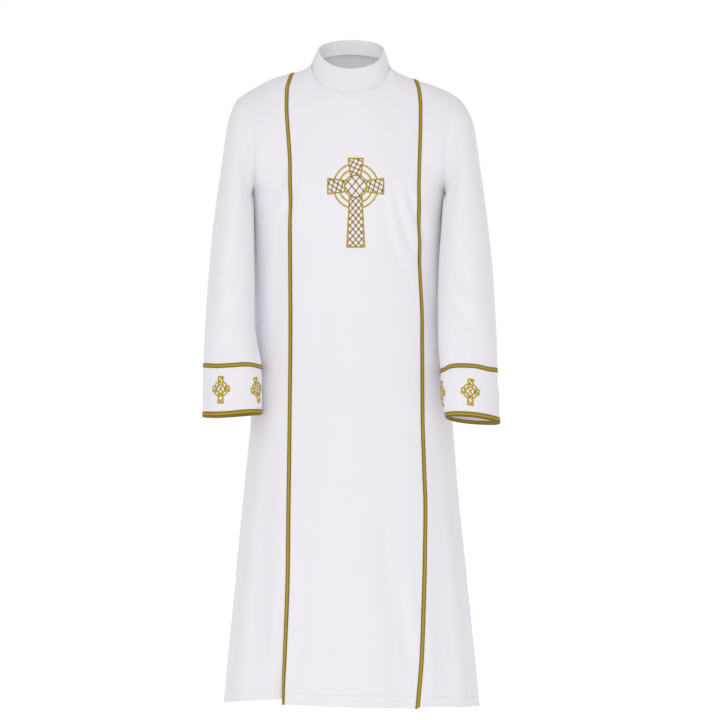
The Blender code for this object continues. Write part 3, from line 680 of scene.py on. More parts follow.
def thread(name, colour, roughness):
    # shiny rayon thread, a little uneven from stitch to stitch
    dark = (colour[0] * 0.72, colour[1] * 0.68, colour[2] * 0.6, 1.0)
    light = (colour[0] * 1.12, colour[1] * 1.10, colour[2] * 1.1, 1.0)
    return paint(name, (
        ("where", "ShaderNodeTexCoord"),
        ("uneven", "ShaderNodeTexNoise", {}, {"Scale": 900.0}),
        ("tone", "ShaderNodeMix", {"data_type": "RGBA"}, {"A": dark, "B": light}),
        ("shader", "Principled BSDF", {}, {
            "Roughness": roughness, "Metallic": 0.0, "Specular IOR Level": 0.25}),
    ), ("where.Object > uneven.Vector", "uneven.Fac > tone.Factor", "tone.Result > shader.Base Color"))[0]


# a small bar of thread at even steps along a path, lying on the cloth
stitches = new_tree("stitches", "GeometryNodeTree", {
    "Path": "Geometry", "Spacing": "Float", "Along": "Float", "Across": "Float", "Height": "Float",
    "Thread": "Material",
}, {"Stitches": "Geometry"})
wire(stitches, (
    ("start", "NodeGroupInput"),
    ("end", "NodeGroupOutput"),
    ("path", "GeometryNodeMeshToCurve"),
    ("even", "GeometryNodeResampleCurve", {"mode": "LENGTH"}),
    ("run", "GeometryNodeInputTangent"),
    ("lie", "GeometryNodeInputNamedAttribute", {"data_type": "FLOAT_VECTOR"}, {"Name": "lie"}),
    ("turn_run", "FunctionNodeAlignRotationToVector", {"axis": "X"}),
    ("turn_lie", "FunctionNodeAlignRotationToVector", {"axis": "Z", "pivot_axis": "X"}),
    ("bar", "GeometryNodeMeshCylinder", {}, {"Vertices": 6, "Radius": 0.5, "Depth": 1.0}),
    ("lay", "GeometryNodeTransform", {}, {"Rotation": (math.pi / 2.0, 0.0, 0.0)}),
    ("size", "ShaderNodeCombineXYZ"),
    ("place", "GeometryNodeInstanceOnPoints"),
    ("real", "GeometryNodeRealizeInstances"),
    ("soft", "GeometryNodeSetShadeSmooth"),
    ("colour", "GeometryNodeSetMaterial"),
), (
    "start.Path > path.Mesh", "path.Curve > even.Curve", "start.Spacing > even.Length",
    "even.Curve > place.Points", "run.Tangent > turn_run.Vector", "turn_run.Rotation > turn_lie.Rotation",
    "lie.Attribute > turn_lie.Vector", "turn_lie.Rotation > place.Rotation", "bar.Mesh > lay.Geometry",
    "lay.Geometry > place.Instance", "start.Along > size.X", "start.Across > size.Y",
    "start.Height > size.Z", "size.Vector > place.Scale", "place.Instances > real.Geometry",
    "real.Geometry > soft.Geometry", "soft.Geometry > colour.Geometry",
    "start.Thread > colour.Material", "colour.Geometry > end.Stitches",
))


def stitch(name, paths, sizes, yarn):
    # paths is a list of runs of (point, way out of the cloth); sizes are spacing, length, width and height
    edges = []
    first = 0
    for run in paths:
        edges += [(first + i, first + i + 1) for i in range(len(run) - 1)]
        first += len(run)
    mesh = bpy.data.meshes.new(name + "_path")
    mesh.from_pydata([tuple(point) for run in paths for point, _ in run], edges, [])
    lie = mesh.attributes.new("lie", "FLOAT_VECTOR", "POINT")
    lie.data.foreach_set("vector", [value for run in paths for _, out in run for value in out])
    guide = bpy.data.objects.new(name + "_path", mesh)
    bpy.context.scene.collection.objects.link(guide)
    work = guide.modifiers.new("stitches", "NODES")
    work.node_group = stitches
    keys = {item.name: item.identifier for item in stitches.interface.items_tree if item.in_out == "INPUT"}
    for label, value in zip(("Spacing", "Along", "Across", "Height", "Thread"), (*sizes, yarn)):
        work[keys[label]] = value
    ready = guide.evaluated_get(bpy.context.evaluated_depsgraph_get())
    sewn = bpy.data.meshes.new_from_object(ready)
    sewn.name = name
    piece = bpy.data.objects.new(name, sewn)
    bpy.context.scene.collection.objects.link(piece)
    bpy.data.objects.remove(guide, do_unlink=True)
    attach(piece, "root")
    return piece


def sewn_line(grid, rows, columns, flip):
    # a run of stitches on the cloth, through the chosen points of its grid
    lean = point_normals(grid, False, flip)[rows, columns]
    return list(zip(grid[rows, columns] + lean * LINE_LIFT, lean))


def hem_line(grid, flip):
    # the hem is turned up inside and held by one row of small stitches
    along = run_lengths(grid)[1]
    row = int(np.argmin(np.abs(along[:, along.shape[1] // 2] - HEM_DEPTH)))
    columns = np.arange(1, grid.shape[1] - 1, 2)
    return sewn_line(grid, np.full(len(columns), row), columns, flip)


FRONT_SEED = 3
HEM_DEPTH = 0.022
HEM_STITCH = (0.0042, 0.0024, 0.0006, 0.0004)
WHITE_THREAD = (0.700, 0.680, 0.730)
white_thread = thread("white_thread", WHITE_THREAD, 0.55)
centre_grid = front_centre_grid()
all_free = np.ones(centre_grid.shape[1])
centre_grid = drape(centre_grid, all_free, FRONT_CREASES, FRONT_SEED, 1.0, ["last_row"], ["last_row"])
front_weave = white_cloth("front_centre_weave")
front_centre_panel = hang_piece("front_centre_panel", centre_grid, False, 1.0, front_weave)
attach(front_centre_panel, "root")
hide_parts("front_centre")
name = "front_centre_hem_stitches"
centre_hem = stitch(name, [hem_line(centre_grid, 1.0)], HEM_STITCH, white_thread)

# ---------------------------------------------------------------- side fronts
# Two long gores of the same weave, each with half of the armhole and of the shoulder.
# They are sewn to the centre panel under the ribbons and to the backs at the sides.
TUCK_TOP = -1.150
TUCK_DEPTH = 0.0090
TUCK_SHIFT = 0.0028
TUCK_FADE = 0.080


def tuck(points, seam_x):
    # the side panel sits behind the middle one beside the right ribbon at the hem
    grow = ease((TUCK_TOP - points[:, 2]) / (TUCK_TOP - SKIRT_END))
    away = seam_x - points[:, 0]
    set_back = ease(away / BAND_HALF) * np.clip(1.0 - (away - BAND_HALF) / TUCK_FADE, 0.0, 1.0)
    points[:, 1] += TUCK_DEPTH * grow * set_back
    points[:, 0] += TUCK_SHIFT * grow * set_back
    return points


def front_side_grid(side):
    # columns from the ribbon's seam out to the side seam and the armhole
    sign = SIDES[side]
    start = None
    grid = []
    for index, station in enumerate(stations(SIDE_STEPS)):
        share = station or 0.0
        hem = HEM[side]["side_at_band"] + (HEM[side]["side"] - HEM[side]["side_at_band"]) * share
        top = shoulder_point(side, station, "side")

        def base_at(heights):
            turn = band_turn(side, heights)
            if station is not None:
                turn = band_turn(side, heights, BAND_HALF)
                turn = turn + (math.pi / 2.0 - turn) * share
            return ring_point(side, turn, heights, "front")

        def sway(height):
            return sign * (1.0 - share) * (band(side, height) - float(band(side, UNDERARM_Z)))

        line, middle = column(base_at, hem, top, share, start, side, -1.0, sway, 2.3)
        start = middle if index < 2 else start
        if side == "right":
            line = tuck(line, -band("right", line[:, 2]))
        grid.append(line)
    return np.stack(grid, axis=1)


side_grids = {}
for side, flip in (("right", -1.0), ("left", 1.0)):
    free = np.concatenate([np.ones(2), 1.0 - np.linspace(0.0, 1.0, SIDE_STEPS + 1)[1:] ** 6])
    edges = ("last_row", "last_column")
    grid = drape(front_side_grid(side), free, FRONT_CREASES, FRONT_SEED, flip, edges, edges)
    side_grids[side] = grid
    name = "front_side_panel_" + side
    panel = hang_piece(name, grid, False, flip, white_cloth("front_side_weave_" + side))
    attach(panel, "root")
    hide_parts("front_side_" + side)
    name = "front_side_hem_stitches_" + side
    stitch(name, [hem_line(grid, flip)], HEM_STITCH, white_thread)

# ---------------------------------------------------------------- backs and back strip
# Two flared lengths joined down the centre back, with upright folds from the shoulder blades.
# A narrow strip lapped on the left half hides the closing below the collar.
BACK_CREASES = (
    (0.06, -0.13, 0.09, -0.56, 0.01, 0.014, -0.0032),
    (-0.07, -0.14, -0.098, -0.6, -0.01, 0.014, -0.0034),
    (0.118, -0.17, 0.15, -0.48, 0.008, 0.011, -0.003),
    (-0.122, -0.16, -0.156, -0.44, -0.008, 0.011, -0.0028),
    (0.03, -0.42, 0.044, -1.12, 0.01, 0.019, -0.004),
    (-0.036, -0.48, -0.05, -1.22, -0.008, 0.02, -0.0042),
    (0.09, -0.52, 0.122, -1.33, 0.006, 0.018, -0.0048),
    (-0.098, -0.6, -0.13, -1.33, -0.006, 0.017, -0.0046),
    (0.06, -0.7, 0.078, -1.33, 0.004, 0.013, 0.0032),
    (-0.068, -0.76, -0.088, -1.33, -0.004, 0.013, 0.0034),
    (0.15, -0.64, 0.19, -1.33, 0.004, 0.016, -0.0042),
    (-0.156, -0.7, -0.196, -1.33, -0.004, 0.017, -0.0044),
    (0.01, -0.9, 0.014, -1.33, 0.004, 0.015, -0.003),
    (-0.012, -0.96, -0.018, -1.33, -0.004, 0.013, 0.0024),
    (0.136, -0.205, 0.186, -0.33, 0.006, 0.008, -0.0022),
    (-0.14, -0.2, -0.19, -0.32, -0.006, 0.008, -0.0022),
)
BACK_SEED = 8
STRIP_BOTTOM = -0.400
STRIP_COLUMNS = FINENESS
STRIP_THICKNESS = 0.0010
STRIP_LIFT = 0.0003
STRIP_STITCH = (0.0036, 0.0024, 0.0006, 0.0004)


def back_grid(side):
    # columns from the centre back out to the side seam and the armhole
    sign = SIDES[side]
    tops = [collar_point(sign * turn, 0.0) for turn in (math.pi - neck_turns(NECK_HALF_STEPS))[:-1]]
    tops += [shoulder_point(side, station, "centre") for station in stations(YOKE_STEPS)[::-1]]
    tops += [shoulder_point(side, station, "side") for station in stations(SIDE_STEPS)[1:]]
    count = len(tops)
    start = None
    grid = []
    for index, top in enumerate(tops):
        across = index / (count - 1)
        share = max(0.0, (index - (count - 1 - SIDE_STEPS)) / SIDE_STEPS)
        hem = HEM[side]["centre_back"] + (HEM[side]["side"] - HEM[side]["centre_back"]) * float(ease(across))

        def base_at(heights):
            return ring_point(side, across * math.pi / 2.0 + 0.0 * heights, heights, "back")

        def no_sway(height):
            return 0.0 * np.asarray(height)

        line, middle = column(base_at, hem, top, share, start, side, 1.0, no_sway, 2.2)
        start = middle if share <= 0.0 else start
        grid.append(line)
    return np.stack(grid, axis=1)


back_grids = {}
for side, flip in (("right", 1.0), ("left", -1.0)):
    grid = back_grid(side)
    across = np.linspace(0.0, 1.0, grid.shape[1])
    free = 1.0 - np.clip(across * 2.0 - 1.0, 0.0, 1.0) ** 6
    seams = ("last_row", "first_column", "last_column")
    grid = drape(grid, free, BACK_CREASES, BACK_SEED, flip, ("last_row", "last_column"), seams)
    back_grids[side] = grid
    name = "back_panel_" + side
    panel = hang_piece(name, grid, False, flip, white_cloth("back_weave_" + side))
    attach(panel, "root")
    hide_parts("back_" + side)
    name = "back_hem_stitches_" + side
    stitch(name, [hem_line(grid, flip)], HEM_STITCH, white_thread)

strip_line = back_grids["left"][:, 0, 2]
strip_start = int(np.argmin(np.abs(strip_line - STRIP_BOTTOM)))
strip_rows = back_grids["left"][strip_start:, : STRIP_COLUMNS + 1]
strip_lean = point_normals(back_grids["left"], False, -1.0)[strip_start:, : STRIP_COLUMNS + 1]
strip_low = strip_rows + strip_lean * STRIP_LIFT
strip_high = strip_rows + strip_lean * (STRIP_LIFT + STRIP_THICKNESS)
back_strip = sew_piece("back_strip", strip_high, strip_low, False, white_cloth("back_strip_weave"))
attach(back_strip, "root")
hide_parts("back_placket")
strip_run = np.arange(2, strip_high.shape[0] - 1, 2)
strip_paths = []
for edge in (1, STRIP_COLUMNS - 1):
    strip_paths.append(sewn_line(strip_high, strip_run, np.full(len(strip_run), edge), -1.0))
strip_stitches = stitch("back_strip_stitches", strip_paths, STRIP_STITCH, white_thread)

# ---------------------------------------------------------------- stand collar
# One curved strip of the white cloth, doubled over at its top edge and sewn round the neck.
# It stands open at the top and leans outwards into the shoulders.
COLLAR_ROWS = 26
COLLAR_THICKNESS = 0.0022
SEAM_DRAW = 0.0003
quarter = neck_turns(NECK_HALF_STEPS)
half_turn = np.concatenate([quarter, math.pi - quarter[:-1][::-1]])
neck_ring = np.concatenate([-half_turn[:0:-1], half_turn])
stand_grid = collar_point(neck_ring[None, :], np.linspace(0.0, 1.0, COLLAR_ROWS + 1)[:, None])
stand_turn = np.linspace(-math.pi, math.pi, stand_grid.shape[1])[None, :]
stand_rise = np.linspace(0.0, 1.0, COLLAR_ROWS + 1)[:, None]
stand_push = 0.0009 * np.sin(stand_turn * 3.0 + 1.0) * stand_rise
stand_push = stand_push + 0.0006 * np.sin(stand_turn * 7.0) * np.sin(math.pi * stand_rise)
stand_edges = ("first_row", "first_column", "last_column")
stand_grid = press(stand_grid, False, 1.0, stand_push * edge_fade(stand_grid, 0.012, *stand_edges))
stand_grid = line_seam(stand_grid, False, 1.0, edge_fade(stand_grid, 0.005, *stand_edges))
# the seam is drawn up close to the neck of the panels
stand_grid[0, :, 2] -= SEAM_DRAW
collar_weave = white_cloth("collar_weave")
stand_collar = hang_piece("stand_collar", stand_grid, False, 1.0, collar_weave, COLLAR_THICKNESS)
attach(stand_collar, "root")
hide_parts("collar")

# ---------------------------------------------------------------- sleeves
# Each sleeve is one piece of the white weave, closed by a seam under the arm and set into the armhole.
# It narrows a little to the cuff, with soft creases inside the elbow and at the armhole.
SLEEVE_COLUMNS = "step inner_x inner_z outer_x outer_z middle_y half_depth lean dent"
SLEEVE_RIGHT = (
    (0.207, -0.262, 0.225, -0.051, 0.0, 0.074, 0.0, 0.014),
    (0.2082, -0.267, 0.2395, -0.063, -0.004, 0.075, 0.0, 0.0115),
    (0.2082, -0.273, 0.25, -0.084, -0.009, 0.0755, 0.0, 0.009),
    (0.207, -0.281, 0.2588, -0.113, -0.015, 0.076, 0.005, 0.0065),
    (0.2059, -0.293, 0.2657, -0.158, -0.022, 0.076, 0.01, 0.004),
    (0.2049, -0.31, 0.2724, -0.208, -0.03, 0.075, 0.02, 0.002),
    (0.2041, -0.337, 0.282, -0.275, -0.038, 0.074, 0.03, 0.0),
    (0.2037, -0.376, 0.2917, -0.35, -0.046, 0.072, 0.04, 0.0),
    (0.204, -0.425, 0.2977, -0.417, -0.053, 0.07, 0.045, 0.0),
    (0.204, -0.476, 0.302, -0.474, -0.06, 0.068, 0.05, 0.0),
    (0.2025, -0.53, 0.3052, -0.53, -0.067, 0.065, 0.05, 0.0),
    (0.1955, -0.578, 0.3073, -0.576, -0.073, 0.062, 0.05, 0.0),
    (0.187, -0.624, 0.3083, -0.621, -0.079, 0.059, 0.05, 0.0),
    (0.1862, -0.672, 0.3091, -0.673, -0.085, 0.057, 0.05, 0.0),
    (0.1862, -0.7205, 0.3093, -0.7265, -0.09, 0.056, 0.05, 0.0),
)
SLEEVE_LEFT = (
    (0.196, -0.262, 0.225, -0.059, 0.0, 0.074, 0.0, 0.014),
    (0.1968, -0.267, 0.2388, -0.076, -0.006, 0.074, 0.0, 0.0115),
    (0.1955, -0.273, 0.248, -0.094, -0.013, 0.0735, 0.0, 0.009),
    (0.194, -0.281, 0.2557, -0.116, -0.021, 0.073, 0.005, 0.0065),
    (0.1908, -0.293, 0.2622, -0.156, -0.03, 0.0725, 0.015, 0.004),
    (0.189, -0.31, 0.2688, -0.205, -0.039, 0.0715, 0.03, 0.002),
    (0.1873, -0.337, 0.2782, -0.272, -0.048, 0.0705, 0.05, 0.0),
    (0.1845, -0.376, 0.2876, -0.35, -0.057, 0.069, 0.07, 0.0),
    (0.182, -0.425, 0.2945, -0.417, -0.065, 0.0675, 0.09, 0.0),
    (0.1808, -0.476, 0.2982, -0.474, -0.073, 0.0655, 0.105, 0.0),
    (0.181, -0.53, 0.3012, -0.53, -0.081, 0.063, 0.12, 0.0),
    (0.1815, -0.581, 0.3032, -0.582, -0.088, 0.06, 0.14, 0.0),
    (0.1852, -0.629, 0.3036, -0.631, -0.095, 0.057, 0.15, 0.0),
    (0.1855, -0.678, 0.3059, -0.683, -0.102, 0.056, 0.145, 0.0),
    (0.1965, -0.7285, 0.3083, -0.738, -0.109, 0.055, 0.14, 0.0),
)
CUFF_SEAM_STEP = 12
CUFF_END_STEP = 14
ROWS_A_STEP = 12
SEAM_ROW = CUFF_SEAM_STEP * ROWS_A_STEP
END_ROW = CUFF_END_STEP * ROWS_A_STEP
SLEEVE_CREASES = {
    "right": (
        (-0.243, -0.13, -0.214, -0.285, -0.008, 0.008, -0.0026),
        (-0.232, -0.18, -0.212, -0.33, -0.004, 0.007, -0.0018),
        (-0.216, -0.4, -0.262, -0.48, 0.006, 0.011, -0.003),
        (-0.212, -0.46, -0.272, -0.54, 0.008, 0.011, -0.0034),
        (-0.21, -0.505, -0.252, -0.585, 0.006, 0.009, -0.0026),
        (-0.208, -0.43, -0.246, -0.505, 0.005, 0.008, 0.0022),
        (-0.286, -0.3, -0.296, -0.56, 0.004, 0.014, -0.0026),
        (-0.262, -0.24, -0.27, -0.43, 0.004, 0.015, -0.002),
        (-0.224, -0.54, -0.232, -0.62, 0.002, 0.009, -0.0018),
        (-0.262, -0.56, -0.27, -0.622, 0.002, 0.011, -0.0016),
    ),
    "left": (
        (0.236, -0.15, 0.206, -0.28, 0.008, 0.008, -0.0024),
        (0.226, -0.19, 0.2, -0.33, 0.004, 0.007, -0.0018),
        (0.19, -0.4, 0.246, -0.47, -0.006, 0.011, -0.003),
        (0.188, -0.47, 0.256, -0.555, -0.008, 0.011, -0.0034),
        (0.188, -0.52, 0.23, -0.605, -0.006, 0.009, -0.0026),
        (0.188, -0.44, 0.232, -0.52, -0.005, 0.008, 0.0022),
        (0.276, -0.3, 0.288, -0.56, -0.004, 0.014, -0.0026),
        (0.25, -0.24, 0.256, -0.43, -0.004, 0.015, -0.002),
        (0.214, -0.555, 0.222, -0.625, -0.002, 0.009, -0.0018),
        (0.262, -0.575, 0.268, -0.63, -0.002, 0.011, -0.0016),
    ),
}


sleeve_shapes = {}
for side, rows in (("right", SLEEVE_RIGHT), ("left", SLEEVE_LEFT)):
    sleeve_shapes[side] = table(SLEEVE_COLUMNS, [(step, *row) for step, row in enumerate(rows)])


def sleeve_point(side, turn, step):
    # turn 0 at the inner end, 90 degrees at the front, 180 at the outer end
    turn, step = np.broadcast_arrays(np.asarray(turn, dtype=float), np.asarray(step, dtype=float))
    shape = {name: sleeve_shapes[side](name, step) for name in SLEEVE_COLUMNS.split()[1:]}
    share = (1.0 - np.cos(turn)) / 2.0
    reach = -shape["half_depth"] * np.sin(turn)
    x = shape["inner_x"] + (shape["outer_x"] - shape["inner_x"]) * share - shape["dent"] * np.sin(turn) ** 2
    y = shape["middle_y"] + reach
    z = shape["inner_z"] + (shape["outer_z"] - shape["inner_z"]) * share - shape["lean"] * reach
    return np.stack([SIDES[side] * x, y, z], axis=-1)


SLEEVE_SEEDS = {"right": 5, "left": 6}
SLEEVE_CREASE_REACH = 0.022
arm_turns = np.linspace(0.0, 2.0 * math.pi, 2 * UPPER_ROWS + 1)
arm_grids = {}
for side, flip in (("right", 1.0), ("left", -1.0)):
    steps = np.linspace(0.0, CUFF_END_STEP, END_ROW + 1)
    grid = sleeve_point(side, arm_turns[None, :], steps[:, None])
    facing = np.abs(np.sin(arm_turns))[None, :] ** 0.6
    push = crease_push(grid, SLEEVE_CREASES[side]) * facing + soft_waves(grid, SLEEVE_SEEDS[side]) * 0.8
    push[:SEAM_ROW + 1] *= edge_fade(grid[:SEAM_ROW + 1], SLEEVE_CREASE_REACH, "first_row", "last_row")
    push[SEAM_ROW + 1:] = 0.0
    push[:, -1] = push[:, 0]
    grid = press(grid, True, flip, push)
    arm_grids[side] = grid
    sleeve_grid = grid[:SEAM_ROW + 1]
    sleeve_grid = line_seam(sleeve_grid, True, flip, edge_fade(sleeve_grid, SEAM_REACH, "first_row"))
    name = "sleeve_cloth_" + side
    sleeve = hang_piece(name, sleeve_grid, True, flip, white_cloth("sleeve_weave_" + side))
    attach(sleeve, "root")
    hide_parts("sleeve_" + side)

# ---------------------------------------------------------------- cuffs
# A deep straight cuff of doubled white cloth ends each sleeve, open at the wrist.
# It is sewn to the sleeve under the upper gold ribbon.
CUFF_THICKNESS = 0.0020
cuffs = {}
for side, flip in (("right", 1.0), ("left", -1.0)):
    name = "cuff_cloth_" + side
    cuff_rows = arm_grids[side][SEAM_ROW:]
    cuff = hang_piece(name, cuff_rows, True, flip, white_cloth("cuff_weave_" + side), CUFF_THICKNESS)
    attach(cuff, "root")
    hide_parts("cuff_" + side)
    cuffs[side] = cuff

# ---------------------------------------------------------------- gold front ribbons
# Two woven satin ribbons, 9 mm wide, run from the shoulder seams to the hem over the front seams.
# They are olive gold, with a painted highlight along the middle and painted shade towards the edges, and
# topstitched along both edges.
RIBBON_THICKNESS = 0.0010
RIBBON_LIFT = 0.0002
RIBBON_ACROSS = 9
EDGE_THINNING = 0.55
# one gold, lit and shaded: a painted highlight for the ribbon's middle and painted shade for its edges
GOLD_MIDDLE_PAINTED_HIGHLIGHT = (0.445, 0.316, 0.026)
GOLD_EDGE_PAINTED_SHADE = (0.225, 0.148, 0.009)


def gold_ribbon(name):
    # satin with fine ribs across, a little streaked, with painted shade towards its edges and a painted
    # highlight along the middle
    material, made = paint(name, (
        ("place", "ShaderNodeUVMap", {"uv_map": "cloth"}),
        ("parts", "ShaderNodeSeparateXYZ"),
        ("ramp", "ShaderNodeValToRGB"),
        ("ribs", "ShaderNodeTexWave", {"wave_type": "BANDS", "bands_direction": "Y"}, {
            "Scale": 420.0, "Distortion": 0.6}),
        ("streak", "ShaderNodeTexNoise", {}, {"Scale": 60.0}),
        ("amount", "ShaderNodeMapRange", {}, {"To Min": 0.0, "To Max": 0.5}),
        ("tone", "ShaderNodeMix", {"data_type": "RGBA", "blend_type": "MULTIPLY"}, {
            "B": (0.78, 0.74, 0.60, 1.0)}),
        ("bump", "ShaderNodeBump", {}, {"Strength": 0.35, "Distance": 0.0002}),
        ("shader", "Principled BSDF", {}, {"Roughness": 0.52, "Metallic": 0.0, "Specular IOR Level": 0.22}),
    ), (
        "place.UV > parts.Vector", "parts.X > ramp.Fac", "place.UV > ribs.Vector", "place.UV > streak.Vector",
        "streak.Fac > amount.Value", "amount.Result > tone.Factor", "ramp.Color > tone.A",
        "tone.Result > shader.Base Color", "ribs.Fac > bump.Height", "bump.Normal > shader.Normal",
    ))
    # the ramp across the ribbon paints shade at both edges and a highlight along the middle
    stops = made["ramp"].color_ramp.elements
    stops[0].color = stops[1].color = (*GOLD_EDGE_PAINTED_SHADE, 1.0)
    for position, colour in ((0.16, GOLD_EDGE_PAINTED_SHADE), (0.34, GOLD_MIDDLE_PAINTED_HIGHLIGHT), (0.66, GOLD_MIDDLE_PAINTED_HIGHLIGHT), (0.84, GOLD_EDGE_PAINTED_SHADE)):
        stops.new(position).color = (*colour, 1.0)
    return material


def ribbon_top(lines, leans, across):
    # the face of the ribbon, fuller in the middle than at its edges
    full = RIBBON_THICKNESS * (1.0 - EDGE_THINNING * np.abs(across) ** 4)
    return lines + leans * (RIBBON_LIFT + full[None, :, None])


def sew_ribbon(name, lines, leans, across, closed, gold):
    # lines run along the ribbon, one for each step across it, from -1 at one edge to 1 at the other
    high = ribbon_top(lines, leans, across)
    low = lines + leans * RIBBON_LIFT
    along = run_lengths(lines)[1][:, lines.shape[1] // 2]
    u = np.broadcast_to((across[None, :] + 1.0) / 2.0, lines.shape[:2])
    v = np.broadcast_to(along[:, None], lines.shape[:2])
    uv = np.stack([u, v], axis=-1)
    if closed:
        high, low, uv = (part.transpose(1, 0, 2) for part in (high, low, uv))
    return sew_piece(name, high, low, closed, gold, uv)


def spread(points, keys, shares):
    # points between the chosen columns, at even shares from the first to the last
    columns = []
    for share in shares:
        place = share * (len(keys) - 1)
        low = min(int(place), len(keys) - 2)
        columns.append(points[low] + (points[low + 1] - points[low]) * (place - low))
    return np.stack(columns, axis=1)


RIBBON_STEPS = np.linspace(-1.0, 1.0, RIBBON_ACROSS)
front_stitch_lines = []
for side, seam, inner, flip in (("right", 0, 1, -1.0), ("left", -1, -2, 1.0)):
    shares = np.linspace(0.0, 1.0, RIBBON_ACROSS)
    side_lean = point_normals(side_grids[side], False, flip)
    centre_lean = point_normals(centre_grid, False, 1.0)
    points = [side_grids[side][:, 1], centre_grid[:, seam], centre_grid[:, inner]]
    leans = [side_lean[:, 1], centre_lean[:, seam] + side_lean[:, 0], centre_lean[:, inner]]
    if side == "left":
        points.reverse()
        leans.reverse()
    leans = [lean / np.linalg.norm(lean, axis=-1, keepdims=True) for lean in leans]
    lines = spread(points, (0, 1, 2), shares)
    lean = spread(leans, (0, 1, 2), shares)
    lean /= np.linalg.norm(lean, axis=-1, keepdims=True)
    name = "front_ribbon_" + side
    ribbon = sew_ribbon(name, lines, lean, RIBBON_STEPS, False, gold_ribbon("front_ribbon_satin_" + side))
    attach(ribbon, "root")
    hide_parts("band_" + side)
    face = ribbon_top(lines, lean, RIBBON_STEPS)
    for edge in (1, -2):
        front_stitch_lines.append(list(zip(face[2:-2:3, edge], lean[2:-2:3, edge])))

RIBBON_THREAD = (0.120, 0.080, 0.004)
RIBBON_STITCH = (0.0034, 0.0026, 0.0006, 0.0004)
ribbon_thread = thread("ribbon_thread", RIBBON_THREAD, 0.5)
name = "front_ribbon_stitches"
front_stitches = stitch(name, front_stitch_lines, RIBBON_STITCH, ribbon_thread)

# ---------------------------------------------------------------- gold cuff ribbons
# The same satin ribbon goes round each cuff twice: over the sleeve seam, and folded over the wrist edge.
# Its ends are turned in and stitched at the inner side of the arm.
CUFF_RIBBON_HALF = 0.00475
FOLD_STEPS = 5
INSIDE_STEPS = 6
SAG_PASSES = 6
# how far each ribbon sags below its even line, in millimetres, at turns round the cuff in degrees
RIBBON_SAG = {
    "upper_right": (
        (0, 0.8), (34, -0.8), (46, -3.0), (66, -2.8), (92, 0.4), (119, 2.5), (150, 0.6), (180, -1.2),
        (240, 1.4), (300, -1.0)),
    "upper_left": (
        (0, 4.0), (24, 5.0), (36, 2.6), (46, -0.8), (64, -1.7), (83, -1.0), (101, -0.4), (114, 1.4),
        (124, 3.4), (138, 4.0), (161, 1.6), (180, 0.2), (250, 1.6), (310, -0.8)),
    "lower_right": (
        (0, 0.6), (34, 0.6), (66, 1.0), (92, 3.2), (119, 3.4), (150, 1.2), (180, 0.0), (240, 1.4),
        (300, 0.2)),
    "lower_left": ((0, 0.2), (45, 0.1), (90, 0.4), (135, 2.4), (180, 2.0), (240, 0.6), (300, 0.8)),
}
cuff_ribbons = {}
cuff_stitch_lines = {"right": [], "left": []}
for side, flip in (("right", 1.0), ("left", -1.0)):
    arm = arm_grids[side]
    lean = point_normals(arm, True, flip)
    spacing = float(np.mean(np.linalg.norm(arm[SEAM_ROW + 1:] - arm[SEAM_ROW: -1], axis=-1)))
    half = CUFF_RIBBON_HALF / spacing
    ends = {"upper": (SEAM_ROW - half, SEAM_ROW + half), "lower": (END_ROW - 2.0 * half, END_ROW)}
    for place, (first, last) in ends.items():
        sag_turns, sag_depths = zip(*RIBBON_SAG[place + "_" + side])
        sag = np.interp(np.degrees(arm_turns), sag_turns, sag_depths, period=360.0) * 0.001
        for _ in range(SAG_PASSES):
            sag[1:-1] = (sag[:-2] + sag[1:-1] * 2.0 + sag[2:]) / 4.0
            sag[0] = sag[-1] = (sag[1] + sag[-2]) / 2.0
        rows = np.linspace(first, last, RIBBON_ACROSS)[:, None] + (sag / spacing)[None, :]
        low = np.minimum(rows.astype(int), END_ROW - 1)
        part = (rows - low)[..., None]
        column = np.arange(arm.shape[1])[None, :]
        lines = arm[low, column] * (1.0 - part) + arm[low + 1, column] * part
        leans = lean[low, column] * (1.0 - part) + lean[low + 1, column] * part
        leans /= np.linalg.norm(leans, axis=-1, keepdims=True)
        across = RIBBON_STEPS
        if place == "lower":
            # round the wrist edge and up the inside
            down = arm[END_ROW] - arm[END_ROW - 1]
            down /= np.linalg.norm(down, axis=-1, keepdims=True)
            turns = np.linspace(0.0, math.pi, FOLD_STEPS + 2)[1:-1]
            edge_out = np.stack([leans[-1] * math.cos(turn) + down * math.sin(turn) for turn in turns])
            edge = lines[-1] - leans[-1] * CUFF_THICKNESS / 2.0 + edge_out * CUFF_THICKNESS / 2.0
            inside = (lines - leans * CUFF_THICKNESS)[::-1][:INSIDE_STEPS]
            lines = np.concatenate([lines, edge, inside])
            leans = np.concatenate([leans, edge_out, -leans[::-1][:INSIDE_STEPS]])
            across = np.concatenate([across, np.ones(FOLD_STEPS), np.linspace(1.0, -1.0, INSIDE_STEPS)])
        lines = lines.transpose(1, 0, 2)
        leans = leans.transpose(1, 0, 2)
        name = "cuff_ribbon_cloth_" + place + "_" + side
        ribbon = sew_ribbon(name, lines, leans, across, True, gold_ribbon("cuff_satin_" + place + "_" + side))
        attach(ribbon, "root")
        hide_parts("cuff_ribbon_" + place + "_" + side)
        cuff_ribbons[place + "_" + side] = ribbon
        face = ribbon_top(lines, leans, across)
        for edge in (1, RIBBON_ACROSS - 2):
            cuff_stitch_lines[side].append(list(zip(face[:, edge], leans[:, edge])))
cuff_stitches = {}
for side in SIDES:
    name = "cuff_ribbon_stitches_" + side
    cuff_stitches[side] = stitch(name, cuff_stitch_lines[side], RIBBON_STITCH, ribbon_thread)

# ---------------------------------------------------------------- chest cross
# A ringed cross outlined in gold thread on the middle of the chest, filled with an open lattice.
# The outlines are satin stitch, the lattice is laid thread tied down in brown where it crosses.
CROSS_MIDDLE = (0.0090, -0.2485)
STITCH_LIFT = 0.0002
PATH_STEP = 0.003
TIE_HALF = 0.0011
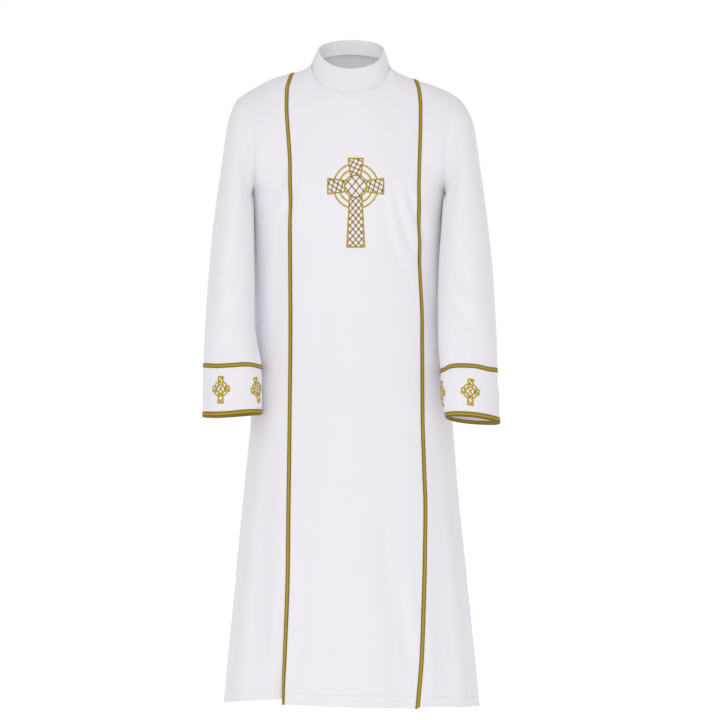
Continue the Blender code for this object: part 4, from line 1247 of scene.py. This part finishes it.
# from the middle of the ring: how far each arm reaches, and half its width at its inner and outer end
CHEST_CROSS = {
    "heart": 0.0225, "corner": 0.0100, "ring": (0.0465, 0.0350),
    "top_end": 0.0578, "top_half": (0.0105, 0.0155), "side_end": 0.0578, "side_half": (0.0115, 0.0160),
    "shaft_end": -0.1262, "shaft_half": (0.0128, 0.0182), "pitch": 0.0092, "tilt": 50.0, "off": 0.5,
}
# spacing, length, width and height of the stitches
CHEST_OUTLINE_STITCH = (0.0008, 0.0010, 0.0030, 0.0007)
CHEST_LATTICE_STITCH = (0.0008, 0.0010, 0.0022, 0.000595)
CHEST_TIE_STITCH = (0.0007, 0.0008, 0.0019, 0.00105)
THREAD_GOLD = (0.560, 0.420, 0.004)
THREAD_OCHRE = (0.420, 0.265, 0.002)
THREAD_BROWN = (0.120, 0.050, 0.002)


def clip_line(corners, point, way):
    # the stretch of a line inside a convex outline that runs anticlockwise
    low, high = -1.0, 1.0
    for (ax, ay), (bx, by) in zip(corners, corners[1:] + corners[:1]):
        nx, ny = -(by - ay), bx - ax
        room = (point[0] - ax) * nx + (point[1] - ay) * ny
        speed = way[0] * nx + way[1] * ny
        if abs(speed) < 1e-12:
            if room < 0.0:
                return None
            continue
        cut = -room / speed
        if speed > 0.0:
            low = max(low, cut)
        else:
            high = min(high, cut)
    if high - low < 0.0015:
        return None
    return [(point[0] + way[0] * t, point[1] + way[1] * t) for t in (low, high)]


def lattice(corners, slope_up, slope_down, pitch, start_up, start_down):
    # two families of slanting lines inside an outline, and the points where they cross
    middle = (sum(c[0] for c in corners) / len(corners), sum(c[1] for c in corners) / len(corners))
    lines = {}
    for kind, slope, start in (("up", slope_up, start_up), ("down", slope_down, start_down)):
        way = (math.cos(math.radians(slope)), math.sin(math.radians(slope)))
        lines[kind] = []
        for k in range(-16, 17):
            shift = (k + start) * pitch
            spot = (middle[0] - way[1] * shift, middle[1] + way[0] * shift)
            piece = clip_line(corners, spot, way)
            if piece:
                lines[kind].append(piece)
    ties = []
    for (ax, ay), (bx, by) in lines["up"]:
        for (cx, cy), (dx, dy) in lines["down"]:
            turn = (bx - ax) * (dy - cy) - (by - ay) * (dx - cx)
            t = ((cx - ax) * (dy - cy) - (cy - ay) * (dx - cx)) / turn
            s = ((cx - ax) * (by - ay) - (cy - ay) * (bx - ax)) / turn
            if 0.04 < t < 0.96 and 0.04 < s < 0.96:
                ties.append((ax + (bx - ax) * t, ay + (by - ay) * t))
    return lines["up"] + lines["down"], ties


def ringed_cross(
        heart, corner, ring, top_end, top_half, side_end, side_half, shaft_end, shaft_half, pitch, tilt, off):
    # outlines, lattice lines and crossings of one cross, about the middle of its ring
    eight = [(corner, -heart), (heart, -corner), (heart, corner), (corner, heart)]
    eight += [(-corner, heart), (-heart, corner), (-heart, -corner), (-corner, -heart)]
    outlines = [eight + eight[:1]]
    near, far = top_half
    top = [(-near, heart), (near, heart), (far, top_end), (-far, top_end)]
    near, far = shaft_half
    shaft = [(-far, shaft_end), (far, shaft_end), (near, -heart), (-near, -heart)]
    near, far = side_half
    right = [(heart, -near), (side_end, -far), (side_end, far), (heart, near)]
    left = [(-side_end, -far), (-heart, -near), (-heart, near), (-side_end, far)]
    for arm in (top, shaft, right, left):
        outlines.append(arm + arm[:1])
    for radius in ring:
        for quarter in range(4):
            ends = []
            for way, half in ((0, side_half), (1, top_half if quarter in (0, 1) else shaft_half)):
                reach = min(0.98, (half[0] + (half[1] - half[0]) * 0.45) / radius)
                ends.append(math.asin(reach))
            first, last = ends[0], math.pi / 2.0 - ends[1]
            turns = [first + (last - first) * i / 14.0 for i in range(15)]
            flip_x = -1.0 if quarter in (1, 2) else 1.0
            flip_y = -1.0 if quarter in (2, 3) else 1.0
            outlines.append([(flip_x * radius * math.cos(t), flip_y * radius * math.sin(t)) for t in turns])
    lines = []
    ties = []
    fills = (
        (eight, tilt, 180.0 - tilt, pitch * 1.35, off, off),
        (shaft, tilt, 180.0 - tilt, pitch, 0.5, 0.5),
        (top, 62.0, 156.0, pitch, 0.1, 0.3),
        (right, 74.0, 148.0, pitch, 0.2, 0.0),
        (left, 74.0, 148.0, pitch, -0.2, 0.4),
    )
    for fill in fills:
        more, knots = lattice(*fill)
        lines += more
        ties += knots
    return outlines, lines, ties


def lay_run(run, step, on_cloth):
    # splits straight stretches into short steps and drops them on the cloth
    out = []
    for (ax, ay), (bx, by) in zip(run[:-1], run[1:]):
        parts = max(1, int(math.ceil(math.hypot(bx - ax, by - ay) / step)))
        out += [on_cloth(ax + (bx - ax) * i / parts, ay + (by - ay) * i / parts) for i in range(parts)]
    out.append(on_cloth(*run[-1]))
    return out


def cloth_finder(piece):
    # finds the nearest cloth of a piece, to lay thread on it
    work = bmesh.new()
    work.from_mesh(piece.data)
    tree = BVHTree.FromBMesh(work)
    work.free()
    return tree


chest = cloth_finder(front_centre_panel)


def on_chest(u, v):
    # drops a point of the cross straight back onto the front
    ahead = Vector((CROSS_MIDDLE[0] + u, -1.0, CROSS_MIDDLE[1] + v))
    where, out, _, _ = chest.ray_cast(ahead, Vector((0.0, 1.0, 0.0)))
    return where + out * STITCH_LIFT, out


gold_thread = thread("gold_thread", THREAD_GOLD, 0.42)
ochre_thread = thread("ochre_thread", THREAD_OCHRE, 0.45)
brown_thread = thread("brown_thread", THREAD_BROWN, 0.5)
chest_outlines, chest_lattice, chest_ties = ringed_cross(**CHEST_CROSS)
paths = [lay_run(run, PATH_STEP, on_chest) for run in chest_outlines]
chest_cross = stitch("chest_cross_outline", paths, CHEST_OUTLINE_STITCH, gold_thread)
paths = [lay_run(run, PATH_STEP, on_chest) for run in chest_lattice]
chest_fill = stitch("chest_cross_lattice", paths, CHEST_LATTICE_STITCH, ochre_thread)
paths = [lay_run([(u - TIE_HALF, v), (u + TIE_HALF, v)], 0.0008, on_chest) for u, v in chest_ties]
chest_knots = stitch("chest_cross_ties", paths, CHEST_TIE_STITCH, brown_thread)

# ---------------------------------------------------------------- cuff crosses
# Four small ringed crosses in the same gold thread stand about a quarter of the way apart round each cuff.
# They are stitched before the cuff is closed.
CUFF_CROSS_SPOTS = {"right": (112.0, 12.98), "left": (90.0, 13.02)}
# share of the way round, and how far the top leans to the right of someone who faces the cross, in degrees
CUFF_CROSS_PLACES = {
    "right": ((0.0, 0.0), (0.265, -3.0), (0.515, 4.0), (0.772, -15.0)),
    "left": ((0.0, 5.0), (0.285, 3.0), (0.520, -3.0), (0.782, 7.0)),
}
SMALL_CROSS = {
    "heart": 0.0086, "corner": 0.0038, "ring": (0.0152,),
    "top_end": 0.0250, "top_half": (0.0040, 0.0056), "side_end": 0.0182, "side_half": (0.0038, 0.0054),
    "shaft_end": -0.0285, "shaft_half": (0.0040, 0.0060), "pitch": 0.0086, "tilt": 52.0, "off": 0.0,
}
CUFF_PATH_STEP = 0.002
CUFF_TIE_HALF = 0.0007
CUFF_OUTLINE_STITCH = (0.0008, 0.0010, 0.0029, 0.0006)
CUFF_LATTICE_STITCH = (0.0009, 0.0011, 0.0024, 0.0005)
CUFF_TIE_STITCH = (0.0006, 0.0008, 0.0014, 0.0009)
cuff_crosses = {}
for side in SIDES:
    found = cloth_finder(cuffs[side])
    first_turn, middle_step = CUFF_CROSS_SPOTS[side]
    ring_turns = np.linspace(0.0, 2.0 * math.pi, 721)
    ring = sleeve_point(side, ring_turns, middle_step)
    ring_length = np.concatenate([[0.0], np.cumsum(np.linalg.norm(np.diff(ring, axis=0), axis=-1))])
    above = sleeve_point(side, ring_turns, middle_step - 0.5)
    below = sleeve_point(side, ring_turns, middle_step + 0.5)
    step_length = float(np.mean(np.linalg.norm(above - below, axis=-1)))
    # going round towards the outer side runs to the left on the right arm, seen from the front
    way = SIDES[side]
    outline_paths = []
    lattice_paths = []
    tie_paths = []
    outlines, fills, ties = ringed_cross(**SMALL_CROSS)
    for share, lean in CUFF_CROSS_PLACES[side]:
        start = float(np.interp(math.radians(first_turn), ring_turns, ring_length)) + share * ring_length[-1]
        tip = math.radians(lean)

        def on_cuff(u, v):
            # wraps a point of the cross, leaning by tip, round the cuff
            u, v = u * math.cos(tip) + v * math.sin(tip), v * math.cos(tip) - u * math.sin(tip)
            turn = float(np.interp((start + way * u) % ring_length[-1], ring_length, ring_turns))
            spot = sleeve_point(side, turn, middle_step - v / step_length)
            ahead = sleeve_point(side, turn + 0.01, middle_step - v / step_length) - spot
            down = sleeve_point(side, turn, middle_step - v / step_length + 0.01) - spot
            out = np.cross(ahead, down)
            out = out / np.linalg.norm(out)
            opposite = sleeve_point(side, turn + math.pi, middle_step)
            middle = (sleeve_point(side, turn, middle_step) + opposite) / 2.0
            if np.dot(out, spot - middle) < 0.0:
                out = -out
            where, normal, _, _ = found.find_nearest(Vector(spot + out * 0.004))
            return where + normal * STITCH_LIFT, normal

        outline_paths += [lay_run(run, CUFF_PATH_STEP, on_cuff) for run in outlines]
        lattice_paths += [lay_run(run, CUFF_PATH_STEP, on_cuff) for run in fills]
        for u, v in ties:
            tie_paths.append(lay_run([(u - CUFF_TIE_HALF, v), (u + CUFF_TIE_HALF, v)], 0.0006, on_cuff))
    cuff_crosses[side] = [
        stitch("cuff_cross_outlines_" + side, outline_paths, CUFF_OUTLINE_STITCH, gold_thread),
        stitch("cuff_cross_lattices_" + side, lattice_paths, CUFF_LATTICE_STITCH, gold_thread),
        stitch("cuff_cross_ties_" + side, tie_paths, CUFF_TIE_STITCH, brown_thread),
    ]

# ---------------------------------------------------------------- cuff work
# Each cuff's two ribbons, its ribbon stitches and its crosses are gathered into one list.
for side in SIDES:
    cuff_work = [cuff_ribbons["upper_" + side], cuff_ribbons["lower_" + side], cuff_stitches[side]]
    cuff_work += cuff_crosses[side]

# ---------------------------------------------------------------- size
low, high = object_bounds()
